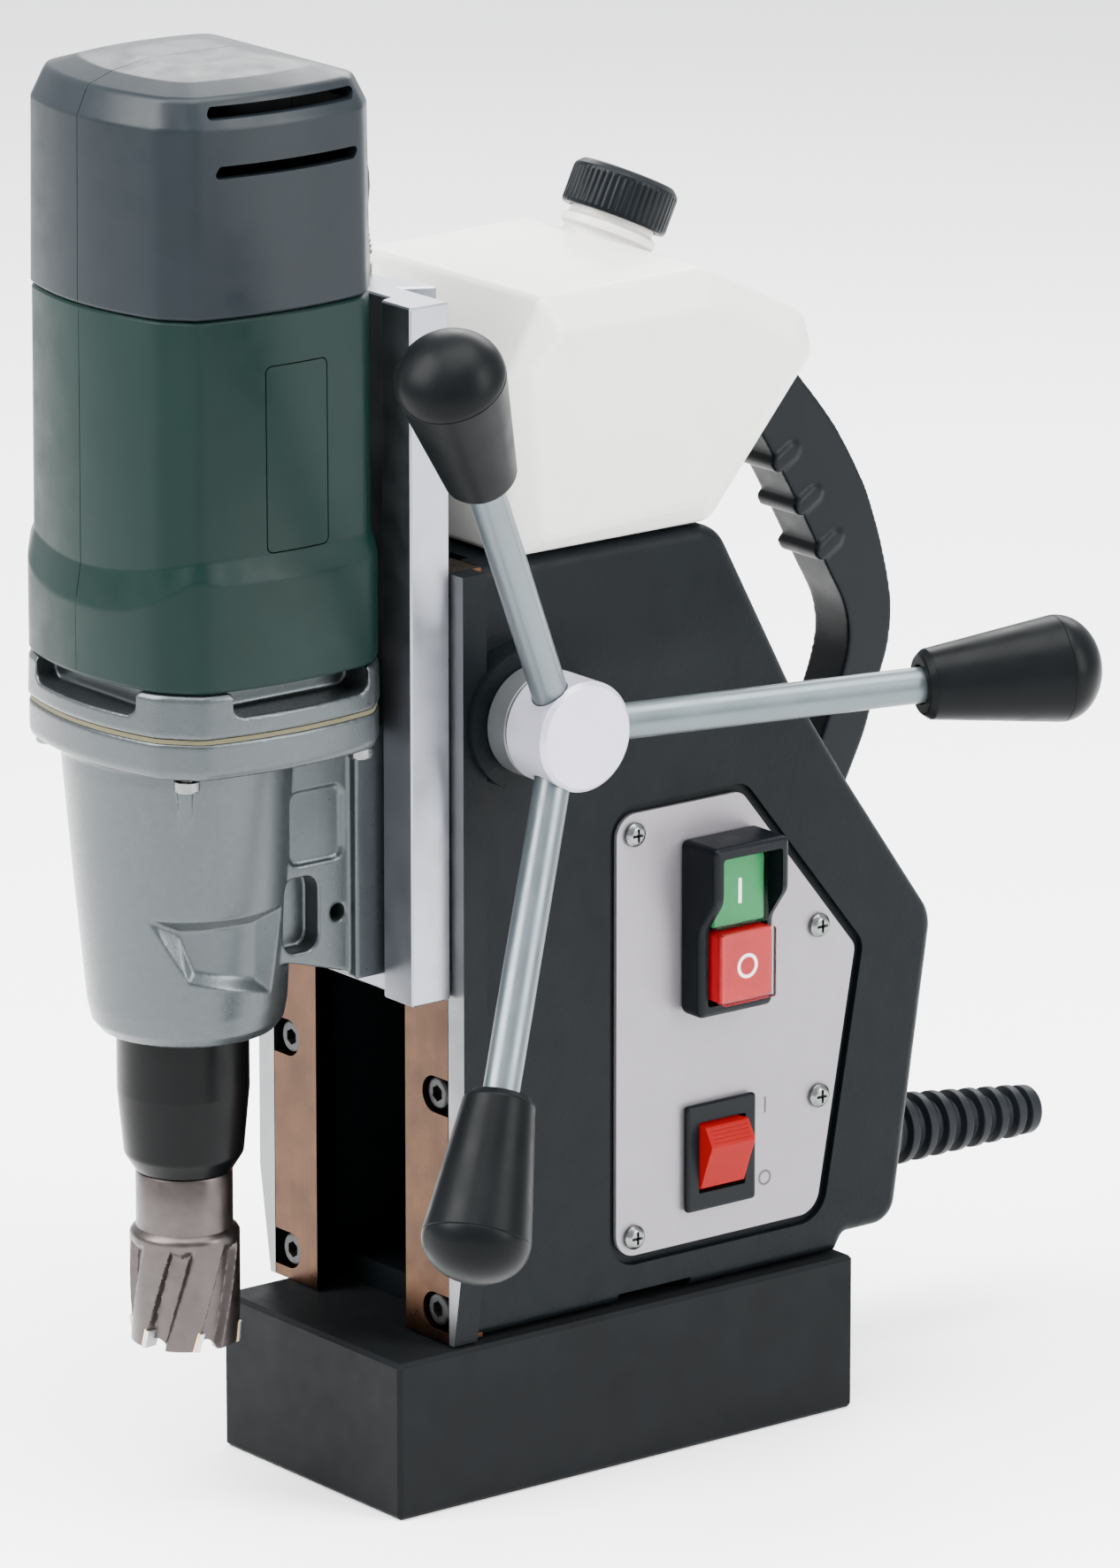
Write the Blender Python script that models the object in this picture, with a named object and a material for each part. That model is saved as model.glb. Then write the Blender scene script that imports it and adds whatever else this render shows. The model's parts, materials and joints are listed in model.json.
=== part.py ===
"""Magnetic core drill: an electromagnet foot carries a cast column; a dovetail slide with the drill motor
runs on the column and is driven up and down by a rack, a pinion and a three-spoke feed handle."""

import math

import bmesh
import bpy
from mathutils import Matrix, Vector

MM = 0.001
GAP = 0.3

# Electromagnet foot: its bottom face is the part's datum (Z = 0), centred on X = Y = 0.
FOOT_WIDTH = 82.0
FOOT_LENGTH = 160.0
FOOT_HEIGHT = 45.0
POLE_WIDTH = 34.0
POLE_LENGTH = 112.0
SLOT_WIDTH = 62.0
SLOT_LENGTH = 140.0
SLOT_DEPTH = 30.0
POTTING_DEPTH = 6.3

# Column casting; its centre plane is MID_X.
MID_X = -4.0
COLUMN_HALF = 41.0
FLANGE_HALF = 47.3
FLANGE_HALF_FOOT = 42.5
FLANGE_TAPER_TOP = 76.0
FRONT_Y = -59.4
FLANGE_BACK_Y = -51.4
COLUMN_TOP = 264.0
GIB_SEAT_HALF = 40.3
GIB_SEAT_Y = -47.4
THROAT_HALF = 30.0
EDGE_ROUND = 2.4
SIDE_PROFILE = [
    (FRONT_Y + 0.3, FOOT_HEIGHT + GAP, 0),
    (FRONT_Y + 0.3, COLUMN_TOP - 0.2, 0),
    (33.8, COLUMN_TOP - 0.2, 12),
    (60.0, 214.5, 20),
    (80.0, 184.0, 30),
    (112.0, 138.5, 12),
    (98.6, 50.0, 8),
    (80.5, 50.0, 3),
    (77.6, FOOT_HEIGHT + GAP, 0),
]

# Gibs: bronze strips that form the dovetail guide.
GIB_INNER_HALF = 20.6
GIB_OUTER_HALF = 40.0
GIB_BACK_Y = GIB_SEAT_Y - GAP
DOVETAIL_SLOPE = math.tan(math.radians(30))
GIB_SCREW_HEIGHTS = (54.0, 116.0)
GIB_SCREW_HALF = 33.6

# Carriage slide plate and rack.
SLIDE_HALF = 42.3
SLIDE_FRONT_Y = -73.0
SLIDE_BACK_Y = -60.0
SLIDE_BOTTOM = 145.0
SLIDE_TOP = 339.0
GROOVE_HALF = 29.2
GROOVE_DEPTH = 4.0
TONGUE_NECK_HALF = 20.0
TONGUE_BACK_Y = -51.0
RACK_SLOT_HALF = 8.9
RACK_SLOT_DEPTH = 4.0

# Feed drive: the pinion shaft runs along X.
FEED_Y = -37.7
FEED_Z = 221.8
PINION_TEETH = 16
PINION_MODULE = 1.5
PINION_RADIUS = PINION_TEETH * PINION_MODULE / 2
SHAFT_RADIUS = 8.0
HUB_RADIUS = 15.3
HUB_BACK_X = 53.8
HUB_FACE_X = 70.0
BOSS_FACE_X = 45.0
SPOKE_ROOT_X = 58.4
SPOKE_RAKE = math.radians(18.7)
SPOKE_FIRST_ANGLE = math.radians(121.9)
SPOKE_RADIUS = 5.0
SPOKE_START = 10.0
SPOKE_END = 112.0
KNOB_START = 103.4
KNOB_WIDEST = 143.3
KNOB_END = 155.4
KNOB_SMALL_RADIUS = 9.7
KNOB_BIG_RADIUS = 14.85

# Drill motor, gear case and spindle (all ride on the slide).
SPINDLE_Y = -119.3
MOTOR_Y = -114.6
MOTOR_OUTLINE = [(0.0, -151.2), (28.9, -146.3), (37.3, -139.0), (41.0, -112.0), (38.2, -84.5), (30.5, -77.2)]
MOTOR_HALF = 38.0
MOTOR_EVEN_INSET = 8.0
CAP_BOTTOM = 343.7
CAP_SECTIONS = [(CAP_BOTTOM, 0.0), (394.5, 0.6), (402.2, 4.2), (405.0, 12.5), (406.8, 24.0)]
BODY_SECTIONS = [(343.3, 0.3), (274.0, 0.0), (265.0, -1.5), (242.7, -1.8)]
ADAPTER_TOP = 242.3
ADAPTER_BOTTOM = 230.2
WINDOW_BOTTOM = 235.4
GASKET_TOP = 229.9
GASKET_BOTTOM = 229.2
CASE_TOP = 228.9
CASE_FLANGE_BOTTOM = 218.4
CASE_SCREW_POINTS = [(32.0, -140.0), (-32.0, -140.0), (32.5, -83.0), (-32.5, -83.0)]
CASE_AXIS_Y = -118.2
NOSE_Z = 138.3
BRACKET_HALF = 24.6
# The trapezoid recess in the gear case's side: outwards from the floor, the radius, the bearings of the left
# and right ends of the top edge (degrees from -Y towards +X), its height, and the same for the lower edge.
RECESS_LEVELS = [
    (25.6, (49.9, 102.0), (172.2, 173.0), (59.5, 100.0), (160.9, 156.9)),
    (28.5, (38.6, 115.5), (175.2, 175.2), (55.4, 113.0), (157.7, 150.6)),
    (31.4, (27.3, 124.0), (178.2, 177.4), (51.3, 121.0), (154.5, 144.3)),
]
RIB_BEARING = math.radians(55.0)
IDLER_DISTANCE = 14.5
SLEEVE_RADIUS = 18.1
CUTTER_TIP_Z = 50.0
CUTTER_TOP_Z = 81.0
CUTTER_RADIUS = 15.1
CUTTER_NECK_RADIUS = 13.3
CUTTER_TEETH = 6
FLUTE_TWIST = math.radians(1.19)

LEAD_FITTING_Y = -57.2

# Control panel on the column's right-hand side.
PANEL_X = 35.3
PANEL_THICK = 1.3
PANEL_OUTLINE = [
    (-1.6, 58.8, 6.5),
    (-1.6, 186.0, 6.5),
    (42.0, 186.0, 5.0),
    (83.0, 134.5, 4.0),
    (69.5, 58.8, 7.0),
]
PANEL_SCREW_POINTS = [(4.2, 180.2), (69.5, 142.8), (69.8, 93.1), (4.2, 64.3)]
SHROUD_Y = (20.4, 46.6)
SHROUD_Z = (126.0, 176.2)
ROCKER_PIVOT = (36.0, 83.5)

# Coolant tank, with its neck square to the sloped rear top.
TANK_OUTER = [(-38.0, 264.5), (-41.5, 311.0), (-27.0, 335.3), (28.6, 336.2), (64.0, 318.6), (67.0, 307.0),
              (31.0, 264.5)]
TANK_SIDE = [(-29.9, 269.3), (-34.2, 316.3), (-24.2, 326.6), (28.3, 326.1), (57.5, 313.0), (59.5, 307.0),
             (26.4, 271.8)]
TANK_HALF = 45.0
TANK_SHOULDER = 5.0
TANK_WALL = 2.2
NECK_FOOT = Vector((-21.0, 38.2, 330.8))
NECK_TILT = math.radians(25.8)

# Carry handle, centred on MID_X.
HANDLE_HALF = 8.0
HANDLE_OUTER = [(34.2, 265.2), (34.4, 267.9), (70.6, 306.6), (74.4, 307.0), (78.4, 303.0), (87.6, 291.9),
                (94.4, 284.0), (101.2, 275.4), (107.0, 266.0), (112.9, 255.1), (117.5, 242.1), (120.8, 229.9),
                (122.6, 219.3), (121.4, 208.2), (117.8, 198.7), (112.9, 184.0), (106.4, 171.2), (99.8, 157.4)]
HANDLE_INNER = [(90.3, 170.8), (97.3, 185.1), (104.1, 200.9), (107.0, 209.7), (107.0, 217.4), (105.1, 223.9),
                (99.2, 234.0), (94.4, 243.2), (85.6, 259.1), (77.9, 271.8), (73.2, 279.4), (69.2, 280.2),
                (41.8, 251.4)]
GRIP_RIDGES = [(80.3, 266.6), (88.4, 253.0), (96.0, 239.0)]

# Cable gland boot at the rear.
BOOT_ROOT = Vector((MID_X, 100.8, 63.5))
BOOT_DROOP = math.radians(4.0)
BOOT_WALL_TILT = math.radians(8.6)
BOOT_LENGTH = 82.0
BOOT_RIBS = 10
BOOT_PITCH = 7.0


def clear_scene():
    for obj in list(bpy.data.objects):
        bpy.data.objects.remove(obj, do_unlink=True)


def material(name, color, roughness, metallic=0.0):
    mat = bpy.data.materials.new(name)
    mat.use_nodes = True
    shader = mat.node_tree.nodes["Principled BSDF"]
    shader.inputs["Base Color"].default_value = (*color, 1.0)
    shader.inputs["Roughness"].default_value = roughness
    shader.inputs["Metallic"].default_value = metallic
    mat.diffuse_color = (*color, 1.0)
    mat.roughness = roughness
    mat.metallic = metallic
    return mat


# Shapes: each is (points in millimetres, faces).


def box(low, high):
    points = [(x, y, z) for x in (low[0], high[0]) for y in (low[1], high[1]) for z in (low[2], high[2])]
    faces = [(0, 1, 3, 2), (4, 6, 7, 5), (0, 4, 5, 1), (2, 3, 7, 6), (0, 2, 6, 4), (1, 5, 7, 3)]
    return points, faces


def side_box(half_low, half_high, y_range, z_range):
    """The same box on both sides of the centre plane."""
    right = box((MID_X + half_low, y_range[0], z_range[0]), (MID_X + half_high, y_range[1], z_range[1]))
    left = box((MID_X - half_high, y_range[0], z_range[0]), (MID_X - half_low, y_range[1], z_range[1]))
    return merged(right, left)


def merged(*shapes):
    points = []
    faces = []
    for shape_points, shape_faces in shapes:
        start = len(points)
        points.extend(shape_points)
        faces.extend(tuple(index + start for index in face) for face in shape_faces)
    return points, faces


def loft(rings):
    """A closed solid through rings of equal length, capped at both ends."""
    count = len(rings[0])
    points = [tuple(point) for ring in rings for point in ring]
    faces = [tuple(range(count)), tuple((len(rings) - 1) * count + i for i in reversed(range(count)))]
    for level in range(len(rings) - 1):
        for i in range(count):
            j = (i + 1) % count
            low = level * count
            faces.append((low + i, low + count + i, low + count + j, low + j))
    return points, faces


def prism(outline, axis, start, end):
    """An outline extruded along an axis: (y, z) for X, (x, z) for Y, (x, y) for Z."""
    if axis == "X":
        return loft([[(x, a, b) for a, b in outline] for x in (start, end)])
    if axis == "Y":
        return loft([[(a, y, b) for a, b in outline] for y in (start, end)])
    return loft([[(a, b, z) for a, b in outline] for z in (start, end)])


def frame_of(direction):
    axis = Vector(direction).normalized()
    side = Vector((1, 0, 0)) if abs(axis.x) < 0.9 else Vector((0, 1, 0))
    across = axis.cross(side).normalized()
    return axis, across, axis.cross(across)


def circle(centre, direction, radius, segments, phase=0.0):
    axis, across, up = frame_of(direction)
    ring = []
    for i in range(segments):
        angle = phase + 2 * math.pi * i / segments
        ring.append(Vector(centre) + across * radius * math.cos(angle) + up * radius * math.sin(angle))
    return ring


def lathe(profile, origin, direction, segments=32):
    """A solid of revolution from (distance along the axis, radius) steps."""
    axis = Vector(direction).normalized()
    return loft([circle(Vector(origin) + axis * s, axis, r, segments) for s, r in profile])


def tube(profile, origin, direction, segments=32):
    """A ring-shaped solid of revolution from a closed (distance, radius) profile."""
    axis = Vector(direction).normalized()
    count = len(profile)
    points = []
    faces = []
    for s, r in profile:
        points.extend(tuple(p) for p in circle(Vector(origin) + axis * s, axis, r, segments))
    for level in range(count):
        following = (level + 1) % count
        for i in range(segments):
            j = (i + 1) % segments
            faces.append((level * segments + i, following * segments + i, following * segments + j,
                          level * segments + j))
    return points, faces


def cylinder(start, end, radius, segments=24):
    direction = Vector(end) - Vector(start)
    return lathe([(0, radius), (direction.length, radius)], start, direction, segments)


def offset(outline, distance):
    """Moves each edge of a convex, counter-clockwise outline inwards by the distance."""
    lines = []
    count = len(outline)
    for i in range(count):
        a = Vector(outline[i])
        b = Vector(outline[(i + 1) % count])
        along = (b - a).normalized()
        lines.append((a + Vector((-along.y, along.x)) * distance, along))
    moved = []
    for i in range(count):
        p, d = lines[i - 1]
        q, e = lines[i]
        cross = d.x * e.y - d.y * e.x
        moved.append(p + d * (((q - p).x * e.y - (q - p).y * e.x) / cross))
    return [(point.x, point.y) for point in moved]


def counter_clockwise(outline):
    area = sum(a[0] * b[1] - b[0] * a[1] for a, b in zip(outline, outline[1:] + outline[:1]))
    return outline if area > 0 else outline[::-1]


def rounded(corners, steps=4):
    """Replaces each (x, y, radius) corner with an arc."""
    outline = []
    count = len(corners)
    for i in range(count):
        here = Vector(corners[i][:2])
        radius = corners[i][2]
        if not radius:
            outline.append(tuple(here))
            continue
        back = (Vector(corners[i - 1][:2]) - here).normalized()
        ahead = (Vector(corners[(i + 1) % count][:2]) - here).normalized()
        half = back.angle(ahead) / 2
        centre = here + (back + ahead).normalized() * (radius / math.sin(half))
        first = here + back * (radius / math.tan(half)) - centre
        last = here + ahead * (radius / math.tan(half)) - centre
        sweep = first.angle_signed(last)
        for step in range(steps + 1):
            turn = Matrix.Rotation(-sweep * step / steps, 2)
            outline.append(tuple(centre + turn @ first))
    return outline


def gear_outline(teeth, module, first_tooth, slack=0.16):
    """Tooth outline about the origin; first_tooth is the angle of one tooth's middle."""
    root = teeth * module / 2 - 1.2 * module
    pitch = teeth * module / 2
    tip = pitch + 0.9 * module
    step = 2 * math.pi / teeth
    half_pitch = step / 4 * (1 - slack)
    outline = []
    for tooth in range(teeth):
        middle = first_tooth + tooth * step
        for radius, half in ((root, half_pitch * 1.5), (pitch, half_pitch), (tip, half_pitch * 0.5)):
            outline.append((radius * math.cos(middle - half), radius * math.sin(middle - half)))
        for radius, half in ((tip, half_pitch * 0.5), (pitch, half_pitch), (root, half_pitch * 1.5)):
            outline.append((radius * math.cos(middle + half), radius * math.sin(middle + half)))
    return outline


# Objects.


def mesh_of(name, shape, origin):
    mesh = bpy.data.meshes.new(name)
    start = Vector(origin)
    mesh.from_pydata([(Vector(point) - start) * MM for point in shape[0]], [], shape[1])
    shell = bmesh.new()
    shell.from_mesh(mesh)
    bmesh.ops.recalc_face_normals(shell, faces=shell.faces)
    shell.to_mesh(mesh)
    shell.free()
    return mesh


def piece(name, shape, mat, origin=(0, 0, 0), smooth=False):
    """A named sub-part; its origin lies on its joint's axis when it moves."""
    mesh = mesh_of(name, shape, origin)
    mesh.materials.append(mat)
    if smooth:
        mesh.shade_smooth()
        mesh.set_sharp_from_angle(angle=math.radians(35))
    obj = bpy.data.objects.new(name, mesh)
    obj.location = Vector(origin) * MM
    bpy.context.scene.collection.objects.link(obj)
    return obj


def helper(name, shape):
    obj = bpy.data.objects.new(name, mesh_of(name, shape, (0, 0, 0)))
    obj.hide_render = True
    obj.display_type = "WIRE"
    bpy.context.scene.collection.objects.link(obj)
    return obj


def boolean(obj, operation, label, shape):
    modifier = obj.modifiers.new(label, "BOOLEAN")
    modifier.operation = operation
    modifier.solver = "EXACT"
    modifier.object = helper(f"{obj.name}_{label}", shape)
    return modifier


def cut(obj, label, shape):
    boolean(obj, "DIFFERENCE", label, shape)


def join(obj, label, shape):
    boolean(obj, "UNION", label, shape)


def bevel(obj, width, segments=1, angle=40):
    modifier = obj.modifiers.new("edge_break", "BEVEL")
    modifier.width = width * MM
    modifier.segments = segments
    modifier.limit_method = "ANGLE"
    modifier.angle_limit = math.radians(angle)


# Electromagnet foot.


def build_foot(steel, copper, resin):
    half_width = FOOT_WIDTH / 2
    half_length = FOOT_LENGTH / 2
    foot = piece("magnet_foot", box((-half_width, -half_length, 0), (half_width, half_length, FOOT_HEIGHT)),
                 steel)
    bevel(foot, 1.2)
    cut(foot, "coil_slot", ring_box(POLE_WIDTH, POLE_LENGTH, SLOT_WIDTH, SLOT_LENGTH, -1, SLOT_DEPTH))
    cut(foot, "lead_duct", cylinder((0, 63, SLOT_DEPTH - 5), (0, 63, FOOT_HEIGHT + 1), 4, 16))
    piece("magnet_coil",
          ring_box(POLE_WIDTH + 1, POLE_LENGTH + 1, SLOT_WIDTH - 1, SLOT_LENGTH - 1, POTTING_DEPTH + GAP,
                   SLOT_DEPTH - 0.5), copper)
    piece("coil_potting",
          ring_box(POLE_WIDTH + 0.6, POLE_LENGTH + 0.6, SLOT_WIDTH - 0.6, SLOT_LENGTH - 0.6, 0.4,
                   POTTING_DEPTH), resin)


def ring_box(inner_width, inner_length, outer_width, outer_length, low, high):
    """A rectangular ring centred on the foot."""
    points = []
    for z in (low, high):
        for width, length in ((inner_width, inner_length), (outer_width, outer_length)):
            points.extend((x * width / 2, y * length / 2, z) for x, y in ((-1, -1), (1, -1), (1, 1), (-1, 1)))
    faces = []
    for i in range(4):
        j = (i + 1) % 4
        faces.append((i, j, 4 + j, 4 + i))
        faces.append((8 + i, 12 + i, 12 + j, 8 + j))
        faces.append((i, 8 + i, 8 + j, j))
        faces.append((4 + i, 4 + j, 12 + j, 12 + i))
    return points, faces


# Column casting.


def build_column(paint):
    outline = counter_clockwise(rounded(SIDE_PROFILE))
    rings = []
    for side in (-1, 1):
        steps = ((0, EDGE_ROUND), (EDGE_ROUND * 0.3, EDGE_ROUND * 0.3), (EDGE_ROUND, 0))
        for depth, inset in steps[::-side]:
            x = MID_X + side * (COLUMN_HALF - depth)
            rings.append([(x, y, z) for y, z in (offset(outline, inset) if inset else outline)])
    column = piece("column_frame", loft(rings), paint)
    join(column, "front_flange", front_flange())
    join(column, "feed_bosses", feed_bosses())
    cut(column, "slide_channel", box((MID_X - 36, GIB_SEAT_Y + 2, 53), (MID_X + 36, -12, 257)))
    cut(column, "throat", box((MID_X - THROAT_HALF, FRONT_Y - 2, 40), (MID_X + THROAT_HALF, GIB_SEAT_Y + 3, 270)))
    cut(column, "gib_seat", box((MID_X - GIB_SEAT_HALF, FRONT_Y - 2, 40),
                                (MID_X + GIB_SEAT_HALF, GIB_SEAT_Y, 270)))
    cut(column, "rear_hollow", prism(rear_hollow(), "X", MID_X - 36, MID_X + 36))
    cut(column, "panel_pocket", prism(panel_pocket(), "X", PANEL_X - GAP, MID_X + COLUMN_HALF + 5))
    cut(column, "panel_window", prism(panel_window(), "X", MID_X + 30, PANEL_X + 1))
    cut(column, "foot_tunnel", box((MID_X - 60, -1, 40), (MID_X + 60, 24.5, 48.6)))
    cut(column, "shaft_bore", cylinder((MID_X - 70, FEED_Y, FEED_Z), (MID_X + 70, FEED_Y, FEED_Z),
                                       SHAFT_RADIUS + 0.6))
    cut(column, "boot_hole", cylinder(BOOT_ROOT - boot_axis() * 22, BOOT_ROOT + boot_axis() * 12, 9.0))
    cut(column, "screw_holes", merged(*[cylinder((25, y, z), (40, y, z), 2.1, 12)
                                        for y, z in PANEL_SCREW_POINTS]))
    cut(column, "gib_screw_holes", merged(*[cylinder((x, GIB_SEAT_Y - 2, z), (x, GIB_SEAT_Y + 9, z), 2.9, 12)
                                            for x, z in gib_screw_points()]))
    return column


def front_flange():
    """The wide front rib that the gibs and the machined face belong to, narrowed towards the foot."""
    low = FOOT_HEIGHT + 2 * GAP
    outline = [(MID_X - FLANGE_HALF_FOOT, low), (MID_X + FLANGE_HALF_FOOT, low),
               (MID_X + FLANGE_HALF, FLANGE_TAPER_TOP), (MID_X + FLANGE_HALF, COLUMN_TOP),
               (MID_X - FLANGE_HALF, COLUMN_TOP), (MID_X - FLANGE_HALF, FLANGE_TAPER_TOP)]
    return prism(outline, "Y", FRONT_Y, FLANGE_BACK_Y)


def feed_bosses():
    right = cylinder((MID_X + COLUMN_HALF - 2, FEED_Y, FEED_Z), (BOSS_FACE_X, FEED_Y, FEED_Z), 20, 40)
    left = cylinder((MID_X - COLUMN_HALF - 5, FEED_Y, FEED_Z), (MID_X - COLUMN_HALF + 2, FEED_Y, FEED_Z), 16, 32)
    return merged(right, left)


def rear_hollow():
    return [(-6, 58), (-6, 256), (30, 256), (54, 212), (74, 181), (103, 137), (92, 58)]


def panel_pocket():
    outline = counter_clockwise(rounded(PANEL_OUTLINE))
    return offset(outline, -2.6)


def panel_window():
    outline = counter_clockwise([corner[:2] for corner in PANEL_OUTLINE])
    return offset(outline, 10.5)


# Gibs and their screws.


def gib_screw_points():
    return [(MID_X + side * GIB_SCREW_HALF, z) for side in (1, -1) for z in GIB_SCREW_HEIGHTS]


def build_gibs(bronze, black_steel):
    depth = GIB_BACK_Y - FRONT_Y
    for side, name in ((1, "gib_right"), (-1, "gib_left")):
        outline = [(MID_X + side * GIB_INNER_HALF, FRONT_Y),
                   (MID_X + side * GIB_OUTER_HALF, FRONT_Y),
                   (MID_X + side * GIB_OUTER_HALF, GIB_BACK_Y),
                   (MID_X + side * (GIB_INNER_HALF + depth * DOVETAIL_SLOPE), GIB_BACK_Y)]
        gib = piece(name, prism(outline, "Z", FOOT_HEIGHT + 2 * GAP, COLUMN_TOP - GAP), bronze)
        for number, z in enumerate(GIB_SCREW_HEIGHTS):
            x = MID_X + side * GIB_SCREW_HALF
            cut(gib, f"pocket_{number}", gib_pocket(x, z, side))
            cut(gib, f"hole_{number}", cylinder((x, FRONT_Y + 3, z), (x, GIB_BACK_Y + 2, z), 2.9, 12))
    for number, (x, z) in enumerate(gib_screw_points()):
        build_cap_screw(f"gib_screw_{number + 1}", (x, FRONT_Y + 5.6, z), (0, -1, 0), 4.6, 4.4, 2.5, 8,
                        black_steel)


def gib_pocket(x, z, side):
    """A D-shaped pocket, open to the gib's outer edge."""
    outline = [(x + side * 12, z + 5.2), (x + side * 12, z - 5.2)]
    for step in range(9):
        angle = -math.pi / 2 + math.pi * step / 8
        outline.append((x - side * 5.2 * math.cos(angle), z + 5.2 * math.sin(angle)))
    return prism(outline, "Y", FRONT_Y - 2, FRONT_Y + 6)


def build_cap_screw(name, seat, outward, head_radius, head_height, shank_radius, shank_length, mat):
    """A socket-head cap screw: the head stands on the seat and the shank runs back into the work."""
    axis = Vector(outward).normalized()
    start = Vector(seat)
    profile = [(-shank_length, shank_radius), (0.1, shank_radius), (0.1, head_radius),
               (head_height - 0.5, head_radius), (head_height, head_radius - 0.5)]
    screw = piece(name, lathe(profile, start, axis, 16), mat, smooth=True)
    cut(screw, "socket", lathe([(head_height * 0.45, head_radius * 0.52), (head_height + 1, head_radius * 0.52)],
                               start, axis, 6))
    return screw


# Slide and rack.


def build_slide(aluminium, steel):
    right = [(GROOVE_HALF - 1.4, SLIDE_FRONT_Y + GROOVE_DEPTH), (GROOVE_HALF, SLIDE_FRONT_Y),
             (SLIDE_HALF, SLIDE_FRONT_Y), (SLIDE_HALF, SLIDE_BACK_Y), (TONGUE_NECK_HALF, SLIDE_BACK_Y),
             (TONGUE_NECK_HALF + (TONGUE_BACK_Y - SLIDE_BACK_Y) * DOVETAIL_SLOPE, TONGUE_BACK_Y),
             (RACK_SLOT_HALF, TONGUE_BACK_Y), (RACK_SLOT_HALF, TONGUE_BACK_Y - RACK_SLOT_DEPTH)]
    outline = [(MID_X + x, y) for x, y in right] + [(MID_X - x, y) for x, y in reversed(right)]
    slide = piece("slide_plate", prism(outline, "Z", SLIDE_BOTTOM, SLIDE_TOP), aluminium)
    bevel(slide, 0.5)
    piece("feed_rack", rack_shape(), steel)


def rack_shape():
    """A toothed bar in the slide's back slot; one tooth sits level with the pinion's axis."""
    pitch_step = math.pi * PINION_MODULE
    back = TONGUE_BACK_Y - RACK_SLOT_DEPTH + GAP
    pitch_line = FEED_Y - PINION_RADIUS
    tip = pitch_line + 0.9 * PINION_MODULE
    root = pitch_line - 1.2 * PINION_MODULE
    half_root = pitch_step * 0.30
    half_tip = pitch_step * 0.13
    low = SLIDE_BOTTOM + 2
    high = SLIDE_TOP - 2
    first = math.ceil((low + pitch_step / 2 - FEED_Z) / pitch_step)
    last = math.floor((high - pitch_step / 2 - FEED_Z) / pitch_step)
    outline = [(back, high), (back, low), (root, low)]
    for tooth in range(first, last + 1):
        middle = FEED_Z + tooth * pitch_step
        outline.extend([(root, middle - half_root), (tip, middle - half_tip), (tip, middle + half_tip),
                        (root, middle + half_root)])
    outline.append((root, high))
    half = RACK_SLOT_HALF - GAP
    return prism(outline, "X", MID_X - half, MID_X + half)


# Feed handle.


def spoke_direction(number):
    angle = SPOKE_FIRST_ANGLE - number * 2 * math.pi / 3
    flat = math.cos(SPOKE_RAKE)
    return Vector((math.sin(SPOKE_RAKE), flat * math.cos(angle), flat * math.sin(angle)))


def build_feed(steel, silver, rod, black_plastic):
    centre = (SPOKE_ROOT_X, FEED_Y, FEED_Z)
    shaft = piece("pinion_shaft", cylinder((MID_X - 49, FEED_Y, FEED_Z), (HUB_FACE_X - 5, FEED_Y, FEED_Z),
                                           SHAFT_RADIUS, 32), steel, centre, smooth=True)
    space_first = math.pi + math.pi / PINION_TEETH
    outline = [(FEED_Y + a, FEED_Z + b) for a, b in gear_outline(PINION_TEETH, PINION_MODULE, space_first)]
    join(shaft, "pinion", prism(outline, "X", MID_X - 9, MID_X + 9))
    cut(shaft, "spoke_flats", merged(*[spoke_bore(number) for number in range(3)]))
    hub = piece("feed_hub", lathe([(0, HUB_RADIUS), (HUB_FACE_X - HUB_BACK_X - 0.8, HUB_RADIUS),
                                   (HUB_FACE_X - HUB_BACK_X, HUB_RADIUS - 0.8)],
                                  (HUB_BACK_X, FEED_Y, FEED_Z), (1, 0, 0), 36), silver, centre, smooth=True)
    cut(hub, "shaft_seat", cylinder((HUB_BACK_X - 1, FEED_Y, FEED_Z), (HUB_FACE_X - 4.5, FEED_Y, FEED_Z),
                                    SHAFT_RADIUS + GAP, 32))
    cut(hub, "spoke_seats", merged(*[spoke_bore(number) for number in range(3)]))
    for number in range(3):
        build_spoke(number, centre, rod, black_plastic)
    piece("shaft_collar", tube([(0, SHAFT_RADIUS + 0.4), (0, HUB_RADIUS), (7.6, HUB_RADIUS),
                                (8.0, HUB_RADIUS - 0.4), (8.0, SHAFT_RADIUS + 0.4)],
                               (BOSS_FACE_X + GAP, FEED_Y, FEED_Z), (1, 0, 0), 36), silver, smooth=True)
    left_face = MID_X - COLUMN_HALF - 5
    piece("shaft_bush", tube([(0, SHAFT_RADIUS + 0.4), (0, 13.0), (3.6, 13.0), (4.4, 12.2),
                              (4.4, SHAFT_RADIUS + 0.4)],
                             (left_face - GAP, FEED_Y, FEED_Z), (-1, 0, 0), 32), silver, smooth=True)


def spoke_bore(number):
    direction = spoke_direction(number)
    root = Vector((SPOKE_ROOT_X, FEED_Y, FEED_Z))
    return cylinder(root + direction * (SPOKE_START - 0.5), root + direction * 30, SPOKE_RADIUS + 0.2, 24)


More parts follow.
